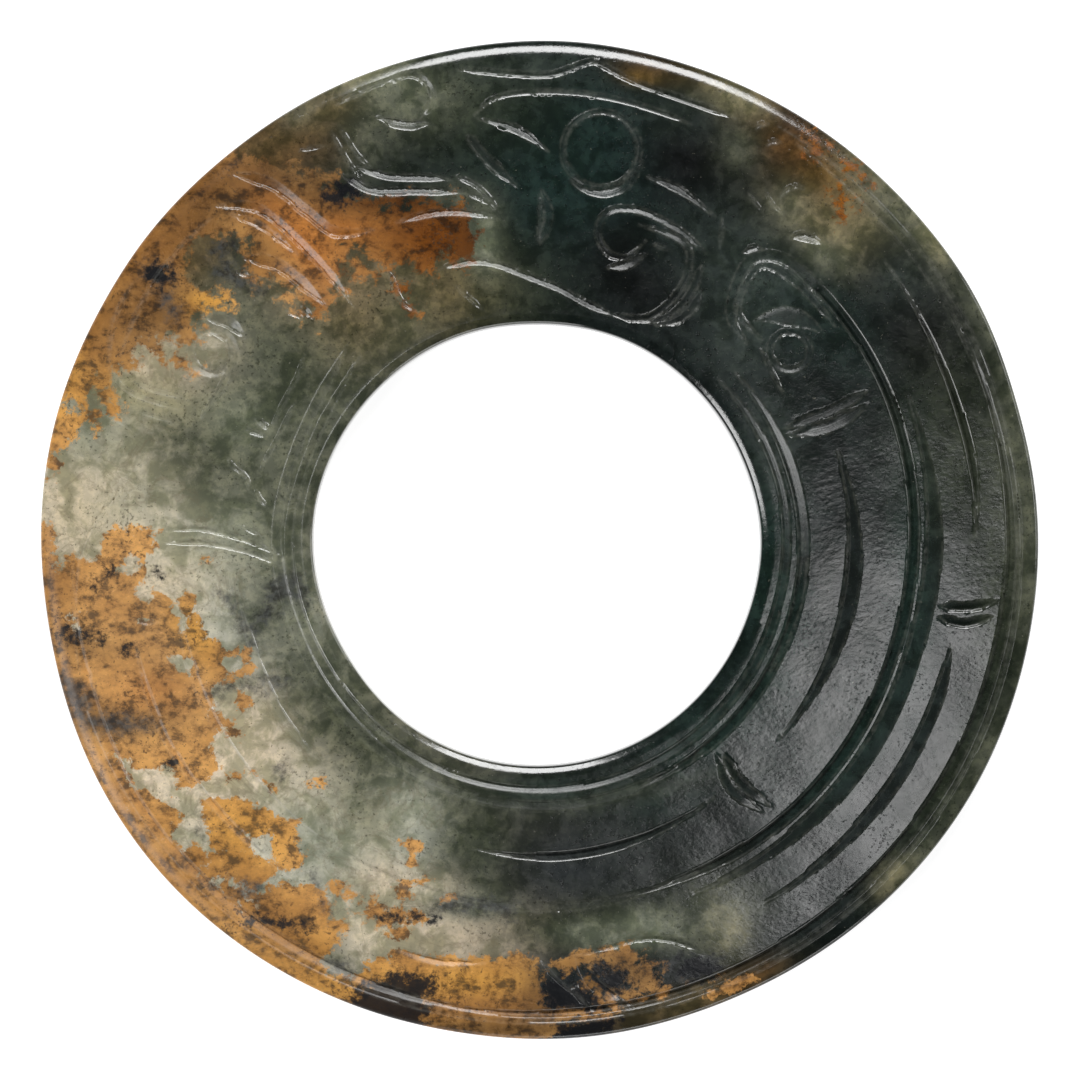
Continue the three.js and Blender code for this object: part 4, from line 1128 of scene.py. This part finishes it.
def inside_by(places, corners):
    """Millimetres from each place to the edge of a patch, less than zero outside it."""
    corners = np.array(corners, float)
    nearest = np.full(len(places), np.inf)
    inside = np.zeros(len(places), bool)
    for a, b in zip(corners, np.roll(corners, -1, axis=0)):
        side = b - a
        share = np.clip(((places - a) * side).sum(1) / (side**2).sum(), 0, 1)
        nearest = np.minimum(nearest, np.linalg.norm(places - a - share[:, None] * side, axis=1))
        crosses = (a[1] > places[:, 1]) != (b[1] > places[:, 1])
        rise = side[1] if side[1] else 1e-9
        inside ^= crosses & (places[:, 0] < a[0] + (places[:, 1] - a[1]) * side[0] / rise)
    return np.where(inside, nearest, -nearest)


def patchwork(places, patches):
    """The same for the nearest of several patches."""
    reach = np.full(len(places), -EDGE_REACH)
    for corners in patches:
        reach = np.maximum(reach, inside_by(places, corners))
    return np.minimum(reach, EDGE_REACH)


def note_colours(mesh, places, depth, across, arrises):
    """Keeps at each vertex what the stone's finish is painted from."""
    flat_places = places[:, :2] + (THICKNESS - places[:, 2:]) * COLOUR_SLANT
    feathered = np.max([soft_cloud(flat_places, *cloud) for cloud in FEATHERED], axis=0)
    # Near the arrises the stone is lightened, as wear and as a painted highlight
    worn_and_glint = np.exp(-((arrises.nearest(places[:, :2])[2] / ARRIS_WEAR_AND_GLINT) ** 2))
    colours = {
        "cloud": clouded(flat_places, DEEP_JADE, CLOUDS),
        "tint": clouded(flat_places, APRICOT, OCHRE_CLOUDS),
    }
    values = {
        "ochre": np.minimum(patchwork(flat_places, OCHRE), -patchwork(flat_places, PALE_ISLANDS)),
        "feathered": np.clip(FEATHERING * feathered, 0, 1),
        "blot": patchwork(flat_places, BLOTS),
        "smoke": patchwork(flat_places, SMOKY_VEINS),
        "cut": np.clip(depth / DEEPEST_CUT, 0, 1),
        "across": across,
        "arris": worn_and_glint * (places[:, 2] > THICKNESS - 1),
    }
    for name, colour in colours.items():
        mesh.attributes.new(name, "FLOAT_COLOR", "POINT").data.foreach_set("color", colour.ravel())
    for name, value in values.items():
        mesh.attributes.new(name, "FLOAT", "POINT").data.foreach_set("value", value)


# ---- The finish ----


class Finish:
    """A material being put together from nodes."""

    def __init__(self, name):
        self.material = bpy.data.materials.new(name)
        self.material.use_nodes = True
        self.tree = self.material.node_tree
        self.tree.nodes.clear()

    def fill(self, socket, value):
        """Joins a socket to another node's output, or sets it to a plain value."""
        if isinstance(value, bpy.types.NodeSocket):
            self.tree.links.new(value, socket)
        else:
            socket.default_value = value

    def node(self, kind, inputs=None, **settings):
        made = self.tree.nodes.new("ShaderNode" + kind)
        for name, value in settings.items():
            setattr(made, name, value)
        for name, value in (inputs or {}).items():
            self.fill(made.inputs[name], value)
        return made

    def attribute(self, name, output="Fac"):
        return self.node("Attribute", attribute_name=name).outputs[output]

    def turned(self, place, angle, scale):
        """Places turned about the disc's axis by an angle in radians, and stretched."""
        return self.node("Mapping", {"Vector": place, "Rotation": (0, 0, angle), "Scale": scale}).outputs[0]

    def grain(self, vector, size, detail=4.0, roughness=0.55, distortion=0.0):
        """Noise with features of about this size in millimetres, from 0 to 1."""
        inputs = {
            "Vector": vector, "Scale": 1 / size, "Detail": detail,
            "Roughness": roughness, "Distortion": distortion,
        }
        return self.node("TexNoise", inputs).outputs["Fac"]

    def math(self, operation, *values):
        return self.node("Math", dict(enumerate(values)), operation=operation).outputs[0]

    def plus(self, first, second):
        return self.math("ADD", first, second)

    def less(self, first, second):
        return self.math("SUBTRACT", first, second)

    def times(self, first, second):
        return self.math("MULTIPLY", first, second)

    def spread(self, value, low, high, to_low=0.0, to_high=1.0):
        """Smoothly maps low..high to to_low..to_high and holds there."""
        inputs = {"Value": value, "From Min": low, "From Max": high, "To Min": to_low, "To Max": to_high}
        return self.node("MapRange", inputs, interpolation_type="SMOOTHSTEP").outputs[0]

    def mix(self, share, first, second, blend="MIX"):
        """A share of the second colour over the first."""
        mixed = self.node("Mix", data_type="RGBA", blend_type=blend)
        self.fill(mixed.inputs[0], share)
        for socket, colour in ((mixed.inputs[6], first), (mixed.inputs[7], second)):
            self.fill(socket, colour if isinstance(colour, bpy.types.NodeSocket) else (*colour, 1))
        return mixed.outputs[2]

    def tinted(self, colour, tint):
        """A colour multiplied by a tint."""
        return self.mix(1.0, colour, tint, "MULTIPLY")

    def ramp(self, value, *stops):
        ramp = self.node("ValToRGB", {"Fac": value})
        elements = ramp.color_ramp.elements
        while len(elements) < len(stops):
            elements.new(0.5)
        for element, (position, colour) in zip(elements, stops):
            element.position = position
            element.color = (*colour, 1)
        return ramp.outputs["Color"]

    def finished(self, inputs):
        """The material, ended in a shader with these inputs."""
        shader = self.node("BsdfPrincipled", inputs)
        self.node("OutputMaterial", {"Surface": shader.outputs[0]})
        return self.material


def stone_grains(stone):
    """The grains that the layers of the stone share; two of them also as the way off their middle value."""
    coordinates = stone.node("TexCoord").outputs["Object"]
    place = stone.node("Mapping", {"Vector": coordinates, "Scale": (1 / MM,) * 3}).outputs[0]
    drift = stone.grain(place, 6.5, 4, 0.5)
    curdle = stone.grain(place, 2.6, 7, 0.62, 0.4)
    speck = stone.grain(place, 0.42, 3, 0.6)
    drift_off = stone.less(drift, 0.5)
    return SimpleNamespace(
        place=place, drift=drift, curdle=curdle, fine=stone.grain(place, 0.8, 5, 0.6), speck=speck,
        drift_off=drift_off, curdle_off=stone.less(curdle, 0.5),
        crowded_speck=stone.plus(speck, stone.times(drift_off, 0.45)),
    )


def clouded_body(stone, grains):
    """The body of the stone in its clouds. Also returns how pale it is, and its pinholes."""
    # curdled, dark in some places and light in others
    cloud = stone.attribute("cloud", "Color")
    pale = stone.spread(stone.node("RGBToBW", {"Color": cloud}).outputs[0], 0.1, 0.36)
    curds = stone.plus(grains.curdle, stone.times(grains.drift_off, 0.8))
    shaded = stone.tinted(cloud, stone.mix(pale, (0.46, 0.5, 0.46), (0.54, 0.57, 0.5)))
    body = stone.mix(stone.spread(curds, 0.36, 0.6), shaded, cloud)
    lit = stone.tinted(body, stone.mix(pale, (1.5, 1.46, 1.38), (1.22, 1.2, 1.17)))
    lump = stone.grain(grains.place, 1.5, 6, 0.66)
    body = stone.mix(stone.spread(lump, 0.44, 0.6, 0.0, 0.9), body, lit)
    body = stone.mix(stone.spread(grains.fine, 0.46, 0.34, 0.0, 0.35), body, shaded)

    # faint brown veins in the pale stone, then dark pinholes and pale flecks
    web = stone.math("ABSOLUTE", stone.less(stone.grain(grains.place, 6.0, 5, 0.6, 0.6), 0.5))
    vein = stone.spread(web, 0.0, 0.03, 0.28, 0.0)
    body = stone.mix(stone.times(vein, pale), body, VEIN_BROWN)
    pinholes = stone.spread(grains.crowded_speck, 0.63, 0.7, 0.0, 0.75)
    body = stone.mix(pinholes, body, stone.tinted(body, (0.34, 0.34, 0.32)))
    flecks = stone.spread(grains.speck, 0.31, 0.25, 0.0, 0.4)
    return stone.mix(flecks, body, stone.mix(0.5, body, FLECK)), pale, pinholes


def skin_share(stone, grains):
    """Where the ochre skin lies, with a ragged edge and small gaps, and softly where it is feathered."""
    edge = stone.attribute("ochre")
    feathered = stone.attribute("feathered")
    lace = stone.grain(grains.place, 1.4, 8, 0.74, 0.3)
    ragged = stone.times(stone.less(lace, 0.5), stone.plus(stone.times(feathered, 6.0), 4.4))
    wander = stone.times(stone.times(grains.curdle_off, 6.5), feathered)
    starts = stone.plus(stone.times(feathered, -0.5), -0.14)
    stops = stone.plus(stone.times(feathered, 0.8), 0.14)
    skin = stone.spread(stone.plus(stone.plus(edge, ragged), wander), starts, stops)
    gaps = stone.spread(stone.plus(lace, stone.times(edge, 0.03)), 0.36, 0.42, 0.3, 1.0)
    return stone.times(skin, gaps)


def ochre_colour(stone, grains):
    """The colour of the skin, in streaks and mottles from honey to brown."""
    streak = stone.grain(stone.turned(grains.place, 0.12, (0.75, 1.2, 1)), 1.5, 8, 0.75)
    blend = stone.plus(grains.curdle, stone.times(grains.fine, 0.4))
    blend = stone.plus(blend, stone.times(streak, 0.9))
    shade = stone.ramp(
        stone.spread(blend, 0.94, 1.36),
        (0.0, (0.24, 0.26, 0.34)), (0.2, (0.54, 0.52, 0.5)), (0.46, (0.84, 0.82, 0.78)),
        (1.0, (1.1, 1.08, 0.96)),
    )
    hue = stone.mix(stone.spread(grains.drift, 0.36, 0.62), (0.84, 0.8, 0.74), (1.08, 1.08, 1.06))
    rust = stone.tinted(stone.tinted(stone.attribute("tint", "Color"), hue), shade)
    paler = stone.tinted(rust, (1.35, 1.4, 1.6))
    rust = stone.mix(stone.spread(grains.speck, 0.4, 0.28, 0.0, 0.6), rust, paler)
    return stone.mix(stone.spread(grains.crowded_speck, 0.62, 0.69, 0.0, 0.7), rust, PIT_BROWN)


def smoke_and_blots(stone, grains, body):
    """The body with its smoky veins, and then with the black blots of iron."""
    smudge = stone.less(stone.grain(grains.place, 1.2, 7, 0.72), 0.5)
    smoke = stone.plus(stone.attribute("smoke"), stone.times(smudge, 6.0))
    haze = stone.mix(stone.spread(grains.fine, 0.4, 0.6), DARK_SMOKE, LIGHT_SMOKE)
    body = stone.mix(stone.spread(smoke, -1.1, 1.3, 0.0, 0.86), body, haze)
    blot = stone.plus(stone.attribute("blot"), stone.times(smudge, 7.0))
    return stone.mix(stone.spread(blot, -0.8, 0.5, 0.0, 0.96), body, IRON_BLACK)


def scuffed_and_glinting_arrises(stone, grains, body):
    """The body lightened along its arrises, partly as scuffed wear and partly as a painted highlight on the
    edges.
    """
    # The lightened copy is a painted highlight as much as scuffing
    worn_and_glint = stone.times(stone.attribute("arris"), stone.spread(grains.fine, 0.35, 0.7, 0.05, 0.4))
    return stone.mix(worn_and_glint, body, stone.mix(0.55, stone.tinted(body, (1.7, 1.7, 1.7)), SCUFF_AND_GLINT))


def hand_polished(stone, grains, skin, pale, pinholes):
    """A close polish on the dark stone, duller on the skin and in the cuts, which keep their tool marks."""
    in_cut = stone.attribute("cut")
    dull = stone.math("MAXIMUM", skin, stone.spread(in_cut, 0.0, 0.07))
    roughness = stone.spread(grains.curdle, 0.3, 0.7, 0.12, 0.16)
    roughness = stone.plus(roughness, stone.plus(stone.times(pale, 0.12), stone.times(dull, 0.13)))

    streaks = stone.turned(grains.place, -0.7, (0.85, 1.2, 1))
    peel = stone.plus(stone.grain(streaks, 0.62, 2, 0.5), stone.times(grains.curdle, 0.8))
    waver = stone.plus(stone.times(stone.attribute("across"), 5.0), grains.curdle)
    wheel_marks = {"W": waver, "Scale": 1.0, "Detail": 2.0}
    marks = stone.node("TexNoise", wheel_marks, noise_dimensions="1D").outputs["Fac"]
    marks = stone.times(stone.times(marks, stone.spread(in_cut, 0.05, 0.25)), 1.1)
    height = stone.less(stone.plus(peel, marks), stone.times(pinholes, 0.5))
    dimples = {"Height": height, "Strength": 0.25, "Distance": 0.04 * MM}
    return {
        "Roughness": roughness,
        "Specular IOR Level": stone.spread(dull, 0.0, 1.0, 0.5, 0.34),
        "Normal": stone.node("Bump", dimples).outputs[0],
    }


def weathered_nephrite():
    """Dark green nephrite, clouded to cream on one side, with an ochre skin, polished by hand."""
    stone = Finish("weathered_nephrite")
    grains = stone_grains(stone)
    body, pale, pinholes = clouded_body(stone, grains)
    skin = skin_share(stone, grains)
    body = stone.mix(skin, body, ochre_colour(stone, grains))
    body = smoke_and_blots(stone, grains, body)
    # Arrises lightened: scuffed wear with a painted highlight
    body = scuffed_and_glinting_arrises(stone, grains, body)
    return stone.finished({
        "Base Color": body, "IOR": NEPHRITE_IOR,
        "Subsurface Weight": 0.06, "Subsurface Radius": (0.8, 0.9, 0.6), "Subsurface Scale": 1.2 * MM,
        **hand_polished(stone, grains, skin, pale, pinholes),
    })


# ---- The disc ----


def settle(mesh, places):
    """Moves the mesh so that it lies as the solid does: the same middle from above, the same underside."""
    low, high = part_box("disc")
    middle = (low + high) / 2
    own_middle = Vector(((places.max(0) + places.min(0)) / 2 * MM))
    shift = (middle.x - own_middle.x, middle.y - own_middle.y, low.z)
    mesh.vertices.foreach_set("co", (places * MM + np.array(shift)).ravel())
    mesh.update()


def carved_disc():
    """The whole disc, carved and coloured, in the solid's place."""
    arrises = Arrises(carving, chips)
    bm = ring_blank()
    divide_face(bm, arrises)
    draw_to_arrises(bm, arrises)
    depth, across = carve(bm)
    places = places_of(bm.verts)
    mesh = bpy.data.meshes.new("carved_disc")
    bm.to_mesh(mesh)
    bm.free()
    note_colours(mesh, places, depth, across, arrises)
    settle(mesh, places)
    mesh.materials.append(weathered_nephrite())
    disc = bpy.data.objects.new("carved_disc", mesh)
    bpy.context.scene.collection.objects.link(disc)
    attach(disc, "root")
    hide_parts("disc")


# ---- The stage ----

# How far the floor lies under the disc, in metres
FLOOR_GAP = 0.0002

# The camera's height over the face, the width that it sees there, and its sensor's, in millimetres
VIEW_DISTANCE = 650
VIEW_WIDTH = 129.6
SENSOR_WIDTH = 36


def pale_floor():
    """White paper on a light table."""
    bm = bmesh.new()
    bmesh.ops.create_grid(bm, x_segments=1, y_segments=1, size=4)
    mesh = bpy.data.meshes.new("floor")
    bm.to_mesh(mesh)
    bm.free()
    mesh.materials.append(Finish("white_paper").finished({
        "Base Color": (0.5, 0.5, 0.5, 1), "Roughness": 1.0, "Specular IOR Level": 0.0,
        "Emission Color": (1, 1, 1, 1), "Emission Strength": 0.9,
    }))
    floor = bpy.data.objects.new("floor", mesh)
    floor.location.z = -FLOOR_GAP
    bpy.context.scene.collection.objects.link(floor)


def softbox(name, place, target, size, power, turn=0.0):
    """A rectangular soft light that looks at a target, turned about its own axis; metres and degrees."""
    light = bpy.data.lights.new(name, "AREA")
    light.shape = "RECTANGLE"
    light.size, light.size_y = size
    light.energy = power
    lamp = bpy.data.objects.new(name, light)
    lamp.location = place
    facing = (Vector(place) - Vector(target)).to_track_quat("Z", "Y")
    lamp.rotation_euler = (facing @ Quaternion((0, 0, 1), math.radians(turn))).to_euler()
    bpy.context.scene.collection.objects.link(lamp)


def towards(azimuth, zenith, distance):
    """A place seen from the disc: azimuth anticlockwise from +X, zenith down from straight above."""
    a, z = math.radians(azimuth), math.radians(zenith)
    out = distance * math.sin(z)
    return out * math.cos(a), out * math.sin(a), distance * math.cos(z)


def studio():
    """A key light beyond the head, a side light on the left, a small one over the flats, and low fills."""
    disc_place = (0, 0, 0)
    right_hand_flats = (0.043, -0.028, 0)
    softbox("key", towards(85, 42, 0.8), disc_place, (0.42, 0.26), 5.0)
    softbox("side", towards(206, 46, 0.8), disc_place, (0.3, 0.24), 2.2)
    softbox("overhead", (0.09, -0.058, 0.71), right_hand_flats, (0.1, 0.053), 0.094, turn=35)
    softbox("fill", towards(285, 76, 1.0), disc_place, (0.9, 0.24), 2.2)
    softbox("fill_right", towards(15, 76, 1.0), disc_place, (0.6, 0.24), 1.4)
    world = bpy.data.worlds.new("studio")
    world.use_nodes = True
    background = world.node_tree.nodes["Background"]
    background.inputs["Color"].default_value = (0.92, 0.96, 1, 1)
    background.inputs["Strength"].default_value = 0.03
    bpy.context.scene.world = world
    bpy.context.scene.view_settings.view_transform = "Standard"


def camera():
    """Looks straight down on the disc."""
    lens = bpy.data.cameras.new("camera")
    lens.sensor_width = SENSOR_WIDTH
    lens.lens = SENSOR_WIDTH * VIEW_DISTANCE / VIEW_WIDTH
    lens.clip_end = 10
    eye = bpy.data.objects.new("camera", lens)
    eye.location = (0.04 * MM, -0.02 * MM, (THICKNESS + VIEW_DISTANCE) * MM)
    bpy.context.scene.collection.objects.link(eye)
    bpy.context.scene.camera = eye


carved_disc()
pale_floor()
studio()
camera()
